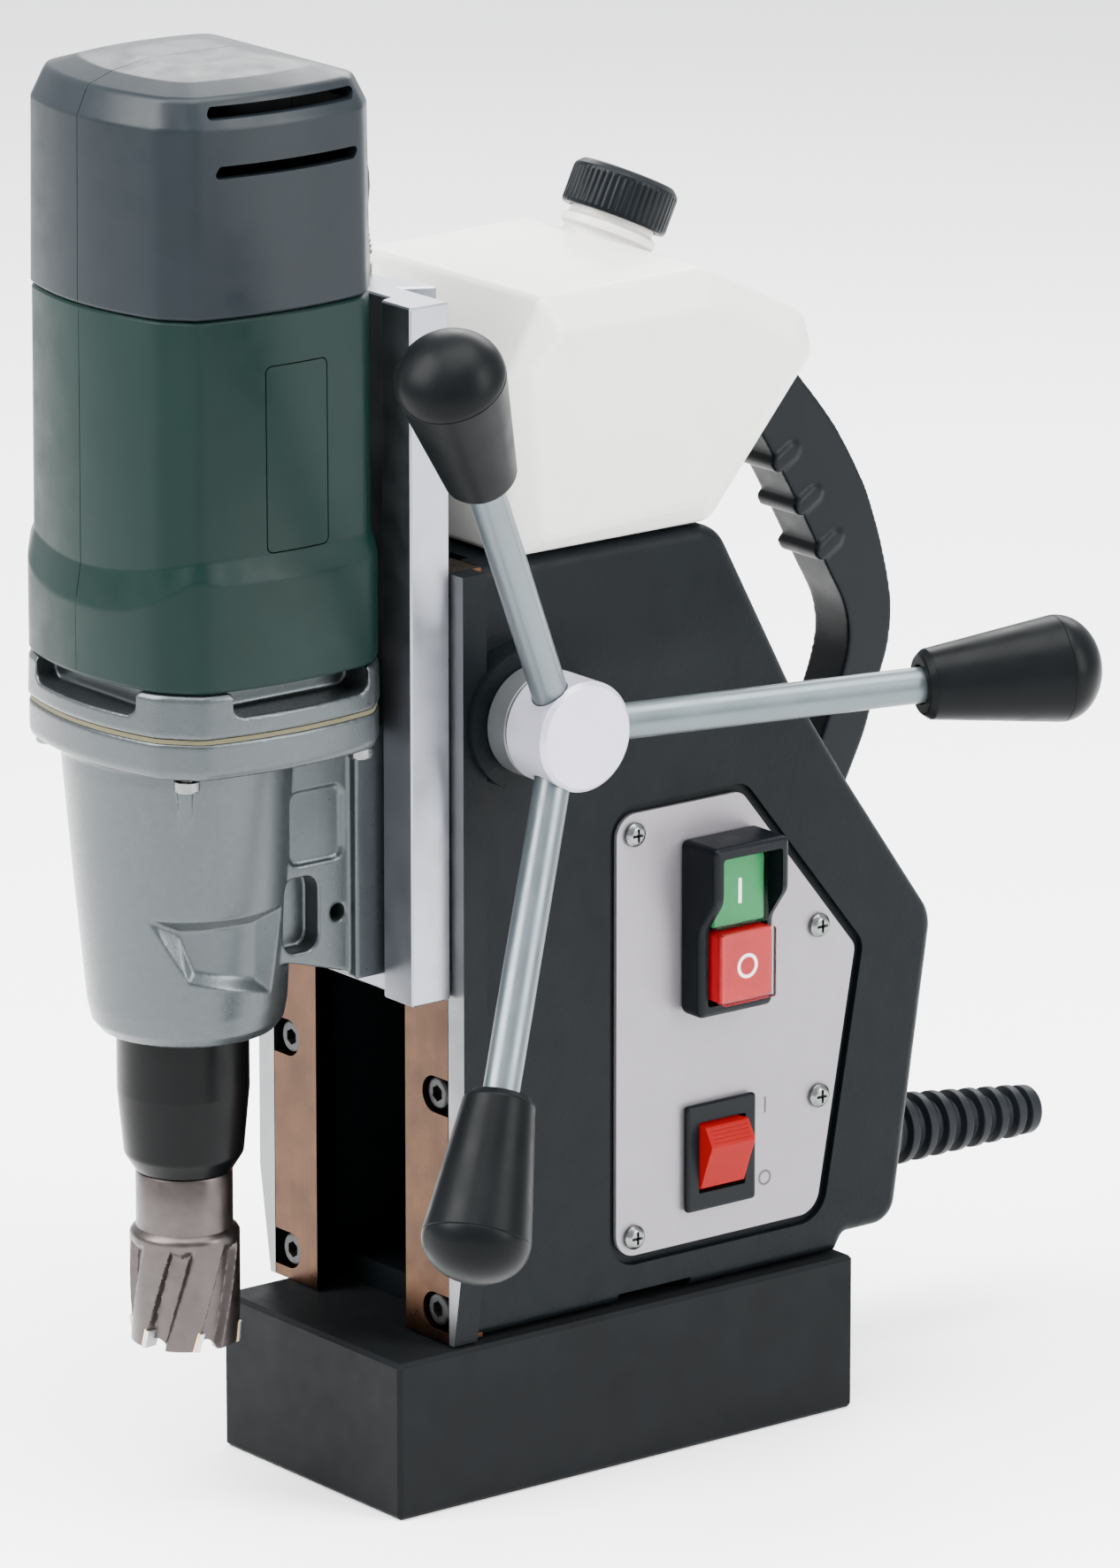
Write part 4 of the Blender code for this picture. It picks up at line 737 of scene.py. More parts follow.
def build_shroud():
    """A hood round the two buttons, stepped out at its upper half."""
    low, high = corners("switch_shroud")
    step = low.z + 25.5
    profile = [(low.x, low.z), (low.x + 9.0, low.z), (low.x + 9.0, step), (high.x, step + 9.0),
        (high.x, high.z), (low.x, high.z)]
    shroud = blank("switch_hood", prism(profile, "Y", low.y, high.y))
    bevel(shroud, 1.9, 5, 30)
    well = rectangle((low.y + 2.8, low.z + 3.2), (high.y - 2.6, high.z - 3.2), 1.0)
    cut(shroud, prism(well, "X", low.x + 1.6, low.x + 30))
    bevel(shroud, 0.5, 3, 60)
    place(shroud, "moulded_black", "machine_base", ["switch_shroud"], "black_plastic")


def build_button(name, finish, slot):
    """A coloured button with a white mark under a clear boxy cap."""
    low, high = corners(name)
    centre = (low + high) / 2
    face = high.x
    button = blank(f"{name}_body", box((low.x, low.y, low.z), (face - 2.0, high.y, high.z)))
    bevel(button, 1.0, 3, 30)
    place(button, finish, name, [name], slot)
    build_mark(name, centre, face - 2.0)
    cap = blank(f"{name}_window", box((face - 4.0, low.y - 0.2, low.z - 0.2),
        (face, high.y + 0.2, high.z + 0.2)))
    bevel(cap, 0.7, 3, 30)
    cut(cap, box((face - 5.0, low.y + 0.2, low.z + 0.2), (face - 1.5, high.y - 0.2, high.z - 0.2)))
    place(cap, "clear_cap", name)


def mark_ring(at, under, over, inner, outer):
    """A flat ring on a face that looks along X."""
    profile = [(-under, inner), (over, inner), (over, outer), (-under, outer)]
    return turned(profile, at, (1, 0, 0), 48, hollow=True)


def build_mark(name, centre, face):
    if name == "start_button":
        bar = rectangle((centre.y - 0.55, centre.z - 3.6), (centre.y + 0.55, centre.z + 3.6), 0.3)
        shape = prism(bar, "X", face - 0.2, face + 0.15)
    else:
        shape = mark_ring((face, centre.y, centre.z), 0.2, 0.15, 2.6, 3.5)
    place(blank(f"{name}_mark", shape), "mark_white", name)


def build_rocker():
    low, high = corners("rocker_bezel")
    bezel = blank("rocker_frame", box((high.x - 2.4, low.y, low.z), (high.x, high.y, high.z)))
    bevel(bezel, 1.3, 4, 30)
    join(bezel, box((low.x, low.y + 3.2, low.z + 4.3), (high.x - 1.4, high.y - 3.1, high.z - 4.3)))
    cut(bezel, box((low.x + 2, low.y + 4.2, low.z + 5.3), (high.x + 10, high.y - 4.1, high.z - 5.3)))
    bevel(bezel, 0.3, 2, 60)
    place(bezel, "moulded_black", "machine_base", ["rocker_bezel"], "black_plastic")
    low, high = corners("magnet_rocker")
    outline = rounded([(32, 78.5, 0), (32, 88.5, 0), (35.5, 92.6, 0), (41.2, 92.9, 0.7), (44.4, 87.6, 0.8),
                       (41.6, 80.6, 6), (39.3, 74.4, 0.8), (36.0, 74.2, 0)], 5)
    rocker = blank("rocker_paddle", prism(outline, "Y", low.y, high.y))
    bevel(rocker, 0.4, 3, 30)
    slope = Vector((3.2, 0, -5.3)).normalized()
    for step in range(4):
        at = Vector((41.2, 0, 92.9)) + slope * (1.3 + step * 1.2)
        cut(rocker, cylinder((at.x + 0.25, low.y + 1.2, at.z + 0.15),
            (at.x + 0.25, high.y - 1.2, at.z + 0.15), 0.42, 16))
    place(rocker, "lamp_red", "magnet_rocker", ["magnet_rocker"], "rocker_red")


def build_switch_marks():
    """Printed I and O beside the rocker."""
    low, high = corners("rocker_bezel")
    y = high.y + 5.0
    bar = box((PANEL_FACE - 0.1, y - 0.35, high.z - 7.5), (PANEL_FACE + 0.04, y + 0.35, high.z - 2.9))
    ring = mark_ring((PANEL_FACE, y, low.z + 4.5), 0.1, 0.04, 1.6, 2.3)
    place(blank("switch_mark_on", bar), "print_black", "machine_base")
    place(blank("switch_mark_off", ring), "print_black", "machine_base")


# Coolant tank and its cap.

TANK_OUTER = [(-38.0, 264.5), (-41.5, 311.0), (-27.0, 335.3), (28.6, 336.2), (64.0, 318.6), (67.0, 307.0),
              (31.0, 264.5)]
TANK_SIDE = [(-29.9, 269.3), (-34.2, 316.3), (-24.2, 326.6), (28.3, 326.1), (57.5, 313.0), (59.5, 307.0),
             (26.4, 271.8)]
TANK_HALF = 45.0
TANK_SHOULDER = 5.0
CAP_AXIS = Vector(JOINTS["cap_lift"]["axis"]).normalized()
NECK_FOOT = Vector((-21.0, 38.2, 330.8))


def tank_rings(shrink):
    rings = []
    half = TANK_HALF - shrink
    for x, outline in ((half, TANK_SIDE), (half - TANK_SHOULDER, TANK_OUTER),
            (-half + TANK_SHOULDER, TANK_OUTER), (-half, TANK_SIDE)):
        rings.append(lay(offset(counter_clockwise(outline), shrink), "X", MID_X + x))
    return rings


def build_tank():
    tank = blank("coolant_bottle", loft(tank_rings(0.0)))
    bevel(tank, 1.9, 4, 12)
    neck = rounded([(-5, 12, 0), (2.2, 12, 1.0), (3.0, 13.6, 0.6), (5.2, 13.6, 0.6), (6.0, 12, 0.8),
        (17.5, 12, 0)], 4, closed=False)
    join(tank, turned(neck, NECK_FOOT, CAP_AXIS, 96))
    cut(tank, loft(tank_rings(2.2)))
    cut(tank, cylinder(NECK_FOOT - CAP_AXIS * 8, NECK_FOOT + CAP_AXIS * 30, 9.8, 64))
    place(tank, "milky_plastic", "machine_base", ["coolant_tank"], "milky_tank", 45)
    build_tank_cap()


def build_tank_cap():
    start = NECK_FOOT + CAP_AXIS * 7.8
    ribs = 48
    side = Vector((1, 0, 0))
    up = CAP_AXIS.cross(side)
    steps = rounded([(0, 14.7, 0), (0.4, 15.0, 0), (1.2, 15.1, 0), (10.4, 15.1, 1.0), (11.4, 15.0, 0.8),
        (13.2, 13.2, 1.6), (13.3, 9.0, 2.0), (12.7, 8.2, 0.5), (12.6, 1.0, 0)], 4, closed=False)
    rings = []
    for s, radius in steps:
        deep = 0.22 if 1.0 < s < 10.6 and radius > 14.5 else 0.0
        ring = []
        for i in range(ribs * 6):
            turn = 2 * math.pi * i / (ribs * 6)
            r = radius + deep * (abs(math.cos(turn * ribs / 2)) ** 0.5 * 1.6 - 1.0)
            ring.append(start + CAP_AXIS * s + (side * math.cos(turn) + up * math.sin(turn)) * r)
        rings.append(ring)
    cap = blank("tank_cap_ribbed", loft(rings))
    cut(cap, cylinder(start - CAP_AXIS * 2, start + CAP_AXIS * 11.2, 12.6, 64))
    place(cap, "moulded_black", "tank_cap", ["tank_cap"], "black_plastic", 50)


# Carry handle.

HANDLE_LOOP = [(34.2, 265.2), (34.4, 267.9), (70.6, 306.6), (74.4, 307.0), (78.4, 303.0), (87.6, 291.9),
    (94.4, 284.0), (101.2, 275.4), (107.0, 266.0), (112.9, 255.1), (117.5, 242.1), (120.8, 229.9),
    (122.6, 219.3), (121.4, 208.2), (117.8, 198.7), (112.9, 184.0), (106.4, 171.2), (99.8, 157.4),
    (90.3, 170.8), (97.3, 185.1), (104.1, 200.9), (107.0, 209.7), (107.0, 217.4), (105.1, 223.9),
    (99.2, 234.0), (94.4, 243.2), (85.6, 259.1), (77.9, 271.8), (73.2, 279.4), (69.2, 280.2),
    (41.8, 251.4)]
GRIP_RIDGES = [(80.3, 266.6), (88.4, 253.0), (96.0, 239.0)]


def build_handle():
    half = 8.0
    outline = contour([(y, z, 0) for y, z in counter_clockwise(HANDLE_LOOP)], 300, 7)
    handle = blank("carry_grip", loft([lay(outline, "X", MID_X + x) for x in (-half, half)]))
    bevel(handle, 2.4, 5, 60)
    ridges = []
    along = Vector((0, 0.52, -0.85))
    across = Vector((0, 0.85, 0.52))
    for y, z in GRIP_RIDGES:
        centre = Vector((MID_X, y, z)) + across * 3.6
        section = rounded([(-2.4, -5.2, 1.8), (2.4, -5.2, 1.8), (2.4, 3.6, 1.8), (0.9, 5.4, 0.8),
            (-0.9, 5.4, 0.8), (-2.4, 3.6, 1.8)], 5)
        ends = ((-half - 1.0, 0.8), (-half - 0.6, 1.0), (half + 0.6, 1.0), (half + 1.0, 0.8))
        ridges.append(loft([[centre + Vector((x, 0, 0)) + (along * a + across * c) * size
                             for a, c in section] for x, size in ends]))
    join(handle, *ridges)
    cast(handle, 0.6, 2)
    place(handle, "moulded_black", "machine_base", ["carry_handle"], "black_plastic", 180, False)


# Cable boot.

BOOT_ROOT = Vector((MID_X, 100.8, 63.5))
BOOT_DROOP = math.radians(4.0)
BOOT_WALL_TILT = math.radians(8.6)
BOOT_AXIS = Vector((0, math.cos(BOOT_DROOP), -math.sin(BOOT_DROOP)))
BOOT_LENGTH = 82.0
BOOT_RIBS = 10
BOOT_PITCH = 7.0


def build_boot():
    steps = [(-9.0, 8.2, 0), (0.6, 8.2, 0), (0.6, 12.4, 0.5), (4.0, 12.4, 0.8)]
    for rib in range(BOOT_RIBS):
        start = 4.8 + rib * BOOT_PITCH
        radius = 12.2 - 5.0 * (start + 5) / BOOT_LENGTH
        steps.extend([(start, radius - 2.4, 0.6), (start + 3.2, radius - 2.4, 0.6),
            (start + 3.8, radius, 0.5), (start + 6.4, radius, 0.5)])
    steps.extend([(BOOT_LENGTH - 7.0, 5.4, 0.6), (BOOT_LENGTH - 5.6, 5.4, 0.5),
        (BOOT_LENGTH - 5.0, 7.3, 0.5), (BOOT_LENGTH - 1.4, 7.1, 1.2), (BOOT_LENGTH, 5.2, 0)])
    rings = []
    for s, radius in rounded(steps, 3, closed=False):
        tilt = BOOT_DROOP + (BOOT_WALL_TILT - BOOT_DROOP) * min(1, max(0, 1 - (s - 4) / 9))
        rings.append(circle(BOOT_ROOT + BOOT_AXIS * s, (0, math.cos(tilt), -math.sin(tilt)), radius, 64))
    boot = blank("cable_gland_boot", loft(rings))
    cut(boot, cylinder(BOOT_ROOT - BOOT_AXIS * 20, BOOT_ROOT + BOOT_AXIS * (BOOT_LENGTH + 5), 4.4))
    place(boot, "black_rubber", "machine_base", ["cable_boot"], "black_rubber", 50)


# Feed handle: hub, collar, bush, spokes and knobs.

HUB_CENTRE = pivot("feed_turn")
HUB_RADIUS = 15.3
SPOKE_RAKE = math.radians(18.7)
SPOKE_FIRST_ANGLE = math.radians(121.9)
SPOKE_RADIUS = 5.0
SPOKE_START = 10.0
SPOKE_END = 112.0
KNOB_START = 103.4
KNOB_WIDEST = 143.3
KNOB_END = 155.4


def spoke_axis(number):
    angle = SPOKE_FIRST_ANGLE - number * 2 * math.pi / 3
    flat = math.cos(SPOKE_RAKE)
    return Vector((math.sin(SPOKE_RAKE), flat * math.cos(angle), flat * math.sin(angle)))


def shaft_ring(node, start, along, profile, segments, finish):
    """A ring round the feed shaft, its profile read from one end along X."""
    ring = turned(profile, (start, FEED_Y, FEED_Z), (along, 0, 0), segments, hollow=True)
    place(blank(f"{node}_turned", ring), finish, "machine_base", [node], "satin_silver", 35)


def build_hub():
    low, high = corners("feed_hub")
    length = high.x - low.x
    steps = rounded([(0, HUB_RADIUS - 0.3, 0), (0.3, HUB_RADIUS, 0), (length - 1.2, HUB_RADIUS, 0.4),
                     (length, HUB_RADIUS - 1.2, 0.4), (length, 2.0, 0)], 4, closed=False)
    hub = blank("feed_hub_turned", turned(steps, (low.x, HUB_CENTRE.y, HUB_CENTRE.z), (1, 0, 0), 120))
    cut(hub, feed_bar(low.x - 1, high.x - 4.5, 8.3, 64))
    for number in range(3):
        axis = spoke_axis(number)
        cut(hub, cylinder(HUB_CENTRE + axis * (SPOKE_START - 0.5), HUB_CENTRE + axis * 30,
            SPOKE_RADIUS + 0.25, 64))
    bevel(hub, 0.25, 2, 50)
    place(hub, "satin_silver", "feed_handle", ["feed_hub"], "satin_silver", 35)
    low, high = corners("shaft_collar")
    collar = rounded([(0, 8.4, 0), (0, HUB_RADIUS, 0.5), (high.x - low.x, HUB_RADIUS, 0.6),
        (high.x - low.x, 8.4, 0)])
    # The collar takes a darker copy of the hub's silver: painted shade for the shadow that falls on it
    # behind the hub.
    shaft_ring("shaft_collar", low.x, 1, collar, 120, "silver_painted_shade")
    low, high = corners("shaft_bush")
    bush = rounded([(0, 8.4, 0), (0, 13.0, 0.3), (high.x - low.x, 13.0, 0.8), (high.x - low.x, 8.4, 0.3)])
    shaft_ring("shaft_bush", high.x, -1, bush, 96, "satin_silver")


def build_spoke(number):
    axis = spoke_axis(number)
    rod = turned([(SPOKE_START, SPOKE_RADIUS - 0.5), (SPOKE_START + 0.5, SPOKE_RADIUS),
        (SPOKE_END - 0.5, SPOKE_RADIUS), (SPOKE_END, SPOKE_RADIUS - 0.5)], HUB_CENTRE, axis, 64)
    place(blank(f"spoke_rod_{number + 1}", rod), "spoke_silver", "feed_handle", [f"spoke_{number + 1}"],
        "satin_silver", 40)
    profile = rounded([(KNOB_START + 4, 5.4, 0), (KNOB_START, 5.4, 0.4), (KNOB_START, 8.2, 1.0),
        (KNOB_START + 2.0, 9.8, 1.6), (KNOB_WIDEST - 0.3, 14.8, 0.15), (KNOB_WIDEST, 14.6, 0),
        (KNOB_WIDEST + 0.3, 14.8, 0.15)], 4, closed=False)
    cap = KNOB_END - KNOB_WIDEST - 0.3
    for step in range(1, 15):
        angle = math.pi / 2 * step / 15
        profile.append((KNOB_WIDEST + 0.3 + cap * math.sin(angle), 14.8 * math.cos(angle)))
    profile.append((KNOB_END, 0.3))
    knob = blank(f"knob_ball_{number + 1}", turned(profile, HUB_CENTRE, axis, 96))
    place(knob, "phenolic_black", "feed_handle", [f"knob_{number + 1}"], "black_plastic", 40)


# Arbor sleeve and annular cutter.

CUTTER_LOW = corners("annular_cutter")[0].z
CUTTER_RADIUS = 15.1
NECK_RADIUS = 13.3
CUTTER_TEETH = 6
FLUTE_TWIST = math.radians(1.19)
FLUTE_TOP = 31.0
# Where things lie in each tooth's share of a turn.
FLUTE_START = 0.42
GULLET_PLACE = 0.80
TIP_PLACE = 0.60
TIP_LEAN = math.tan(0.28)
# What each tooth is made of: name, shift along the rim, width, inner and outer radius, height, finish.
TOOTH_PARTS = [
    ("carbide_tip", 0.0, 1.5, 11.4, 15.45, 5.2, "carbide"),
    ("braze_line", -1.0, 0.5, 11.42, 15.22, 5.5, "braze_gold"),
]


def ease(value):
    value = min(1.0, max(0.0, value))
    return value * value * (3 - 2 * value)


def cutter_radius(share, height):
    """The cutter's outer radius at a place in a tooth's share of a turn, above the tips."""
    flute = ease(share / 0.035) * (1 - ease((share - 0.38) / 0.09))
    reach = ease((FLUTE_TOP - 2.2 - height + 3.0 * abs(share - 0.22)) / 3.0)
    neck = ease((height - FLUTE_TOP) / 1.4)
    radius = CUTTER_RADIUS - (CUTTER_RADIUS - 13.0) * flute * reach
    return radius + (NECK_RADIUS - radius) * neck


def build_cutter():
    top = 98.2 - CUTTER_LOW
    heights = [0.0, 0.3] + [0.9 * step for step in range(1, 38)] + [36.0, top - 0.6, top]
    steps = CUTTER_TEETH * 44
    rings = []
    for height in heights:
        ring = []
        for i in range(steps):
            turn = 2 * math.pi * i / steps
            share = (turn - FLUTE_TWIST * height) * CUTTER_TEETH / (2 * math.pi) % 1.0
            radius = cutter_radius((share + FLUTE_START) % 1.0, height)
            radius -= 0.3 if height == 0.0 or height == top else 0.0
            ring.append((MID_X + radius * math.cos(turn), SPINDLE_Y + radius * math.sin(turn),
                CUTTER_LOW + height))
        rings.append(ring)
    cutter = blank("hole_cutter", loft(rings))
    high = corners("annular_cutter")[1].z
    join(cutter, turned([(top - 4, 9.5), (high - CUTTER_LOW - 0.7, 9.5), (high - CUTTER_LOW, 8.8)],
                        (MID_X, SPINDLE_Y, CUTTER_LOW), (0, 0, 1), 96))
    cut(cutter, spindle_bar(CUTTER_LOW - 10, CUTTER_LOW + 42, 11.3))
    cut(cutter, spindle_bar(80, 120, 3.2, 48))
    for tooth in range(CUTTER_TEETH):
        cut(cutter, gullet(tooth))
    place(cutter, "cutter_steel", "spindle", ["annular_cutter"], "cutter_steel", 32, False)
    for tooth in range(CUTTER_TEETH):
        build_tooth(tooth)


def radial(bearing):
    return Vector((math.cos(bearing), math.sin(bearing), 0))


def gullet(tooth):
    """A round notch at the cutter's end between two teeth."""
    bearing = (tooth + GULLET_PLACE) * 2 * math.pi / CUTTER_TEETH
    centre = Vector((MID_X, SPINDLE_Y, CUTTER_LOW - 0.4)) + radial(bearing) * 13.2
    return cylinder(centre - radial(bearing) * 4, centre + radial(bearing) * 4, 3.2, 48)


def build_tooth(tooth):
    """A carbide tip let into the wall beside its gullet, with the braze line behind it."""
    bearing = (tooth + TIP_PLACE) * 2 * math.pi / CUTTER_TEETH
    across = Vector((-math.sin(bearing), math.cos(bearing), 0))
    for name, shift, width, inner, outer, tall, finish in TOOTH_PARTS:
        centre = Vector((MID_X, SPINDLE_Y, 0)) + across * shift
        lean = across * TIP_LEAN
        section = rectangle((inner, -width / 2), (outer, width / 2))
        rings = []
        for z in (0.05, tall):
            level = centre + Vector((0, 0, CUTTER_LOW + z)) + lean * z
            rings.append([level + radial(bearing) * r + across * w for r, w in section])
        tip = blank(f"{name}_{tooth + 1}", loft(rings))
        bevel(tip, 0.12, 2, 30)
        place(tip, finish, "spindle")


def build_sleeve():
    low, high = corners("arbor_sleeve")
    axis = (MID_X, SPINDLE_Y, 0)
    profile = rounded([(low.z, 9.9, 0.3), (low.z, 13.4, 0.6), (low.z + 4.8, 16.4, 3.0),
        (low.z + 22.9, 18.1, 8.0), (high.z, 18.1, 0.5), (high.z, 8.3, 0.4), (111.8, 8.3, 0),
        (111.8, 9.9, 0)], 6)
    sleeve = blank("arbor_holder", turned(profile, axis, (0, 0, 1), 128, hollow=True))
    place(sleeve, "satin_black", "spindle", ["arbor_sleeve"], "black_steel", 35)


# Camera, stage and lights.


def direction(azimuth, elevation):
    a = math.radians(azimuth)
    e = math.radians(elevation)
    return Vector((math.sin(a) * math.cos(e), -math.cos(a) * math.cos(e), math.sin(e)))


def build_camera():
    camera = bpy.data.objects.new("camera", bpy.data.cameras.new("camera"))
    back = direction(CAMERA_AZIMUTH, CAMERA_ELEVATION)
    camera.location = Vector(CAMERA_TARGET) + back * CAMERA_DISTANCE
    camera.rotation_mode = "QUATERNION"
    camera.rotation_quaternion = (-back).to_track_quat("-Z", "Y")
    camera.data.lens = CAMERA_LENS
    camera.data.sensor_width = 36.0
    camera.data.clip_end = 50.0
    bpy.context.scene.camera = link(camera)


def area_light(name, azimuth, elevation, distance, size, power):
    data = bpy.data.lights.new(name, "AREA")
    data.shape = "RECTANGLE"
    data.size, data.size_y = size
    data.energy = power
    light = bpy.data.objects.new(name, data)
    toward = direction(azimuth, elevation)
    light.location = Vector(CAMERA_TARGET) + toward * distance
    light.rotation_euler = toward.to_track_quat("Z", "Y").to_euler()
    link(light)


def build_stage():
    world = bpy.data.worlds.new("studio")
    world.use_nodes = True
    background = world.node_tree.nodes["Background"]
    background.inputs["Color"].default_value = (0.96, 0.98, 1.0, 1.0)
    background.inputs["Strength"].default_value = WORLD_STRENGTH
    bpy.context.scene.world = world
    mesh = bpy.data.meshes.new("floor")
    points = [(x * FLOOR_HALF, y * FLOOR_HALF, 0.0) for x, y in ((-1, -1), (1, -1), (1, 1), (-1, 1))]
    mesh.from_pydata(points, [], [(0, 1, 2, 3)])
    floor = link(bpy.data.objects.new("floor", mesh))
    mesh.materials.append(surface("pale_floor", (0.96, 0.96, 0.96), 0.7, tone=0.01, tone_scale=3))
    area_light("key_light", CAMERA_AZIMUTH - 68, 42, 1.5, (0.9, 1.1), 85)
    area_light("top_light", CAMERA_AZIMUTH + 30, 78, 1.5, (1.3, 1.0), 75)
    area_light("fill_light", CAMERA_AZIMUTH + 62, 24, 1.7, (0.7, 1.3), 60)
    area_light("back_light", CAMERA_AZIMUTH + 170, 35, 1.6, (1.2, 0.6), 30)


# Node materials.


def add_node(tree, kind, inputs):
    """A node whose inputs are each linked to a socket or set to a value."""
    node = tree.nodes.new("ShaderNode" + kind)
    for socket, value in inputs.items():
        if isinstance(value, bpy.types.NodeSocket):
            tree.links.new(value, node.inputs[socket])
        else:
            node.inputs[socket].default_value = value
    return node


def mixed(tree, factor, first, second):
    mix = tree.nodes.new("ShaderNodeMix")
    mix.data_type = "RGBA"
    tree.links.new(factor, mix.inputs["Factor"])
    for socket, value in ((mix.inputs[6], first), (mix.inputs[7], second)):
        if isinstance(value, bpy.types.NodeSocket):
            tree.links.new(value, socket)
        else:
            socket.default_value = (*value, 1.0)
    return mix.outputs[2]


def spread(tree, value, low, high, start=0.3, end=0.7):
    limits = {"From Min": start, "From Max": end, "To Min": low, "To Max": high}
    return add_node(tree, "MapRange", {"Value": value, **limits}).outputs["Result"]


def noise(tree, coordinates, scale, detail=4.0, stretch=(1.0, 1.0, 1.0)):
    mapping = add_node(tree, "Mapping", {"Vector": coordinates, "Scale": stretch})
    texture = {"Vector": mapping.outputs["Vector"], "Scale": scale, "Detail": detail}
    return add_node(tree, "TexNoise", texture).outputs["Fac"]


def bump(tree, height, depth, normal=None):
    inputs = {"Strength": 1.0, "Distance": depth * MM, "Height": height}
    if normal is not None:
        inputs["Normal"] = normal
    return add_node(tree, "Bump", inputs).outputs["Normal"]


def surface(name, color, roughness, metallic=0.0, tone=0.08, tone_scale=60.0, rough_spread=0.06,
            grain=None, streak=None, specular=0.5, sockets=None):
    """A finish: grain is (feature mm, depth mm), streak is (stretch, feature mm, depth mm, tone)."""
    mat = bpy.data.materials.new(name)
    mat.use_nodes = True
    tree = mat.node_tree
    shader = tree.nodes["Principled BSDF"]
    place = tree.nodes.new("ShaderNodeTexCoord").outputs["Object"]
    blotch = noise(tree, place, tone_scale)
    darker = tuple(channel * (1 - tone) for channel in color)
    lighter = tuple(min(1.0, channel * (1 + tone)) for channel in color)
    shade = mixed(tree, spread(tree, blotch, 0, 1), darker, lighter)
    gloss = spread(tree, noise(tree, place, tone_scale * 2.3, 5.0), roughness - rough_spread,
                   roughness + rough_spread)
    normal = None
    if streak:
        stretch, feature, depth, strength = streak
        lines = noise(tree, place, 1 / (feature * MM), 3.0, stretch)
        deep = tuple(channel * (1 - strength) for channel in color)
        shade = mixed(tree, spread(tree, lines, strength, 0, 0.35, 0.6), shade, deep)
        normal = bump(tree, lines, depth)
    if grain:
        feature, depth = grain
        normal = bump(tree, noise(tree, place, 1 / (feature * MM), 2.0), depth, normal)
    shader.inputs["Metallic"].default_value = metallic
    tree.links.new(shade, shader.inputs["Base Color"])
    tree.links.new(gloss, shader.inputs["Roughness"])
    if normal is not None:
        tree.links.new(normal, shader.inputs["Normal"])
    shader.inputs["Specular IOR Level"].default_value = specular
    for socket, value in (sockets or {}).items():
        shader.inputs[socket].default_value = value
    return mat


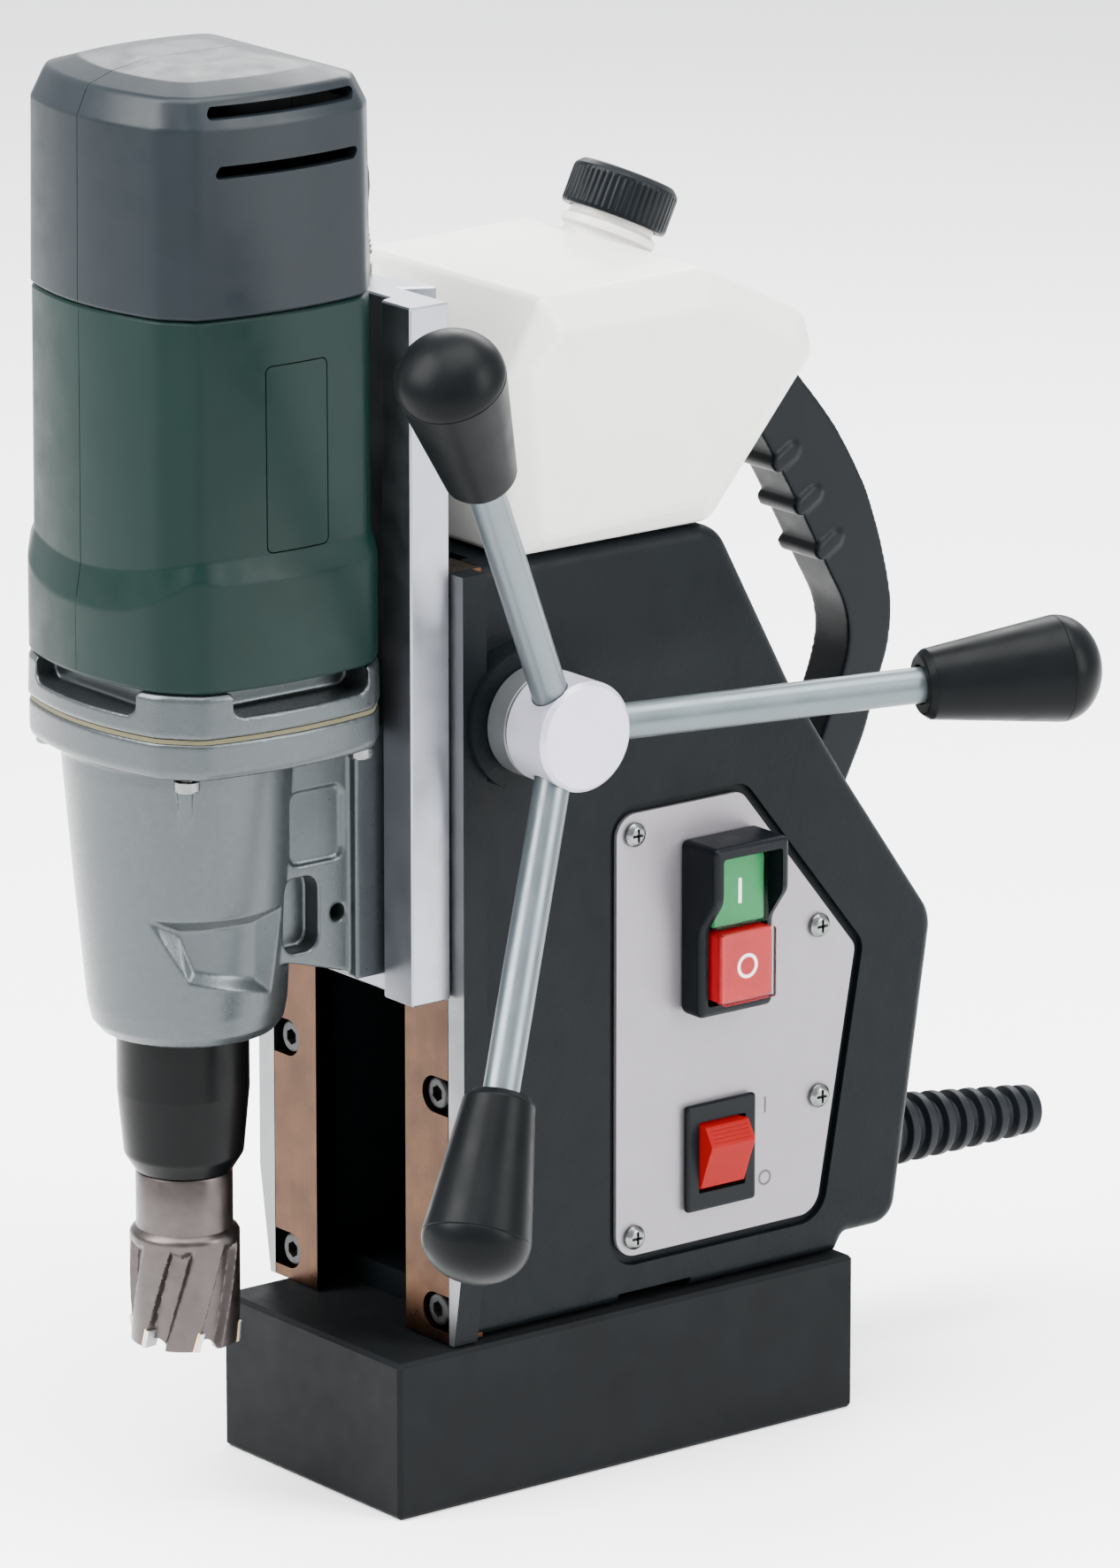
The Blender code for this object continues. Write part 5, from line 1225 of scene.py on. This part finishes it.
# Each finish: colour, roughness, and what surface() is told about it.
ALONG_X = (0.02, 1.0, 1.0)
ALONG_Y = (1.0, 0.03, 1.0)
ALONG_Z = (1.0, 1.0, 0.012)
FINISHES = {
    "powder_coat": ((0.0019, 0.0029, 0.0036), 0.46, dict(tone=0.12, grain=(1.6, 0.11), specular=0.06)),
    "bare_cast": ((0.1512, 0.1548, 0.1584), 0.33, dict(
        metallic=0.9, streak=((1.0, 1.0, 0.05), 0.4, 0.01, 0.2))),
    "foot_black": ((0.0042, 0.0048, 0.0053), 0.52, dict(
        tone=0.15, grain=(0.4, 0.012), streak=((1.0, 0.05, 1.0), 0.5, 0.004, 0.15), specular=0.04)),
    "moulded_green": ((0.001, 0.00756, 0.0061), 0.38, dict(tone=0.06, grain=(0.45, 0.02), specular=0.1)),
    "moulded_charcoal": ((0.005, 0.0075, 0.0095), 0.36, dict(tone=0.06, grain=(0.42, 0.018), specular=0.12)),
    "silver_casting": ((0.0337, 0.0403, 0.0431), 0.33, dict(
        metallic=0.72, tone=0.05, tone_scale=400, grain=(0.55, 0.045),
        sockets={"Coat Weight": 0.15, "Coat Roughness": 0.25})),
    "olive_paper": ((0.0576, 0.0504, 0.0216), 0.8, dict(grain=(0.4, 0.02))),
    "brushed_slide": ((0.2181, 0.2268, 0.2527), 0.36, dict(
        metallic=1.0, tone=0.03, streak=(ALONG_Z, 0.35, 0.002, 0.06))),
    "scraped_bronze": ((0.0477, 0.021, 0.0093), 0.3, dict(
        metallic=1.0, tone=0.3, tone_scale=90, streak=(ALONG_Z, 0.5, 0.008, 0.35))),
    "black_oxide": ((0.0079, 0.0079, 0.0086), 0.35, dict(
        metallic=0.6, tone=0.2, tone_scale=200, grain=(0.4, 0.008))),
    "satin_black": ((0.0009, 0.0011, 0.0012), 0.32, dict(
        tone=0.15, rough_spread=0.05, streak=((1.0, 1.0, 12.0), 2.0, 0.002, 0.1), specular=0.07)),
    "ground_steel": ((0.2016, 0.2016, 0.2052), 0.28, dict(metallic=1.0, streak=(ALONG_X, 0.4, 0.004, 0.1))),
    "satin_silver": ((0.351, 0.3428, 0.4091), 0.42, dict(
        metallic=0.5, tone=0.03, grain=(0.25, 0.01), sockets={"Coat Weight": 0.2, "Coat Roughness": 0.3})),
    # A darker copy of the silver, for the shaft collar: painted shade.
    "silver_painted_shade": ((0.072, 0.0774, 0.081), 0.4, dict(metallic=0.6, tone=0.04, grain=(0.25, 0.01))),
    "spoke_silver": ((0.0715, 0.0882, 0.0952), 0.34, dict(metallic=0.7, tone=0.03, grain=(0.25, 0.01))),
    "phenolic_black": ((0.0022, 0.0027, 0.003), 0.36, dict(tone=0.15, grain=(0.6, 0.006), specular=0.04)),
    "moulded_black": ((0.0014, 0.0023, 0.0033), 0.4, dict(tone=0.1, grain=(0.4, 0.012), specular=0.08)),
    "black_rubber": ((0.0033, 0.0044, 0.006), 0.5, dict(tone=0.1, grain=(0.5, 0.012), specular=0.1)),
    "milky_plastic": ((0.5, 0.492, 0.462), 0.36, dict(tone=0.02, grain=(0.9, 0.012), sockets={
        "Subsurface Weight": 0.02, "Subsurface Radius": (0.012, 0.011, 0.009), "Subsurface Scale": 0.6})),
    "zinc_plate": ((0.1296, 0.1368, 0.135), 0.25, dict(metallic=1.0, tone=0.1, tone_scale=400)),
    "brushed_panel": ((0.1507, 0.1397, 0.1531), 0.42, dict(
        metallic=0.35, tone=0.02, streak=(ALONG_Y, 0.3, 0.002, 0.05))),
    "print_black": ((0.02, 0.02, 0.02), 0.5, dict(tone=0.05)),
    "start_green": ((0.003, 0.12, 0.032), 0.4, dict(tone=0.05, specular=0.12)),
    "stop_red": ((0.24, 0.003, 0.006), 0.4, dict(tone=0.05, specular=0.12)),
    "mark_white": ((0.85, 0.86, 0.85), 0.5, dict(tone=0.02)),
    "clear_cap": ((0.98, 0.99, 0.99), 0.08, dict(
        tone=0.01, rough_spread=0.02, specular=0.06, sockets={"Transmission Weight": 1.0, "IOR": 1.12})),
    "lamp_red": ((0.1083, 0.0008, 0.0008), 0.3, dict(tone=0.05, rough_spread=0.04, specular=0.06, sockets={
        "Subsurface Weight": 0.3, "Subsurface Radius": (0.006, 0.001, 0.001), "Subsurface Scale": 0.5,
        "Emission Color": (1.0, 0.004, 0.004, 1.0), "Emission Strength": 0.2})),
    "winding_copper": ((0.68, 0.32, 0.15), 0.35, dict(
        metallic=0.9, streak=((1.0, 1.0, 30.0), 20.0, 0.05, 0.4))),
    "cast_resin": ((0.03, 0.03, 0.032), 0.4, dict(tone=0.15, grain=(2.0, 0.03))),
    "iron_core": ((0.28, 0.19, 0.14), 0.5, dict(metallic=0.6, streak=((1.0, 1.0, 40.0), 40.0, 0.05, 0.4))),
    "carbon": ((0.03, 0.03, 0.03), 0.55, dict(grain=(0.3, 0.02))),
    "board_green": ((0.02, 0.15, 0.06), 0.4, dict(grain=(1.5, 0.02))),
    "cutter_steel": ((0.0558, 0.0477, 0.0461), 0.36, dict(
        metallic=1.0, tone=0.1, tone_scale=150, streak=((1.0, 1.0, 6.0), 2.2, 0.006, 0.2))),
    "carbide": ((0.36, 0.36, 0.37), 0.35, dict(metallic=0.9, tone=0.1, grain=(0.3, 0.01))),
    "braze_gold": ((0.85, 0.58, 0.22), 0.35, dict(metallic=1.0, tone=0.15, grain=(0.3, 0.02))),
}
# The CAD nodes that are kept as they are.
KEPT_NODES = {
    "foot_black": ["magnet_foot"],
    "winding_copper": ["magnet_coil"],
    "cast_resin": ["coil_potting"],
    "board_green": ["control_board"],
    "ground_steel": ["pinion_shaft", "feed_rack", "armature", "intermediate_gear", "output_gear", "spindle"],
    "brushed_slide": ["slide_plate"],
    "iron_core": ["stator"],
    "carbon": ["brush_left", "brush_right"],
}


def make_materials():
    return {name: surface(name, color, roughness, **details)
            for name, (color, roughness, details) in FINISHES.items()}


def finish_frame_nodes(finish):
    """The kept CAD nodes take their procedural finish."""
    for name, nodes in KEPT_NODES.items():
        for node in nodes:
            for place in frame["nodes"][node].material_slots:
                place.material = finish[name]


def build_pieces():
    build_motor_caps()
    build_motor_housing()
    build_motor_ring()
    build_gear_case()
    build_case_screws()
    build_motor_lead()
    build_column()
    build_gibs()
    build_panel()
    build_switch_marks()
    build_tank()
    build_handle()
    build_boot()
    build_hub()
    for number in range(3):
        build_spoke(number)
    build_cutter()
    build_sleeve()


build_camera()
FINISH = make_materials()
build_stage()
finish_frame_nodes(FINISH)
build_pieces()
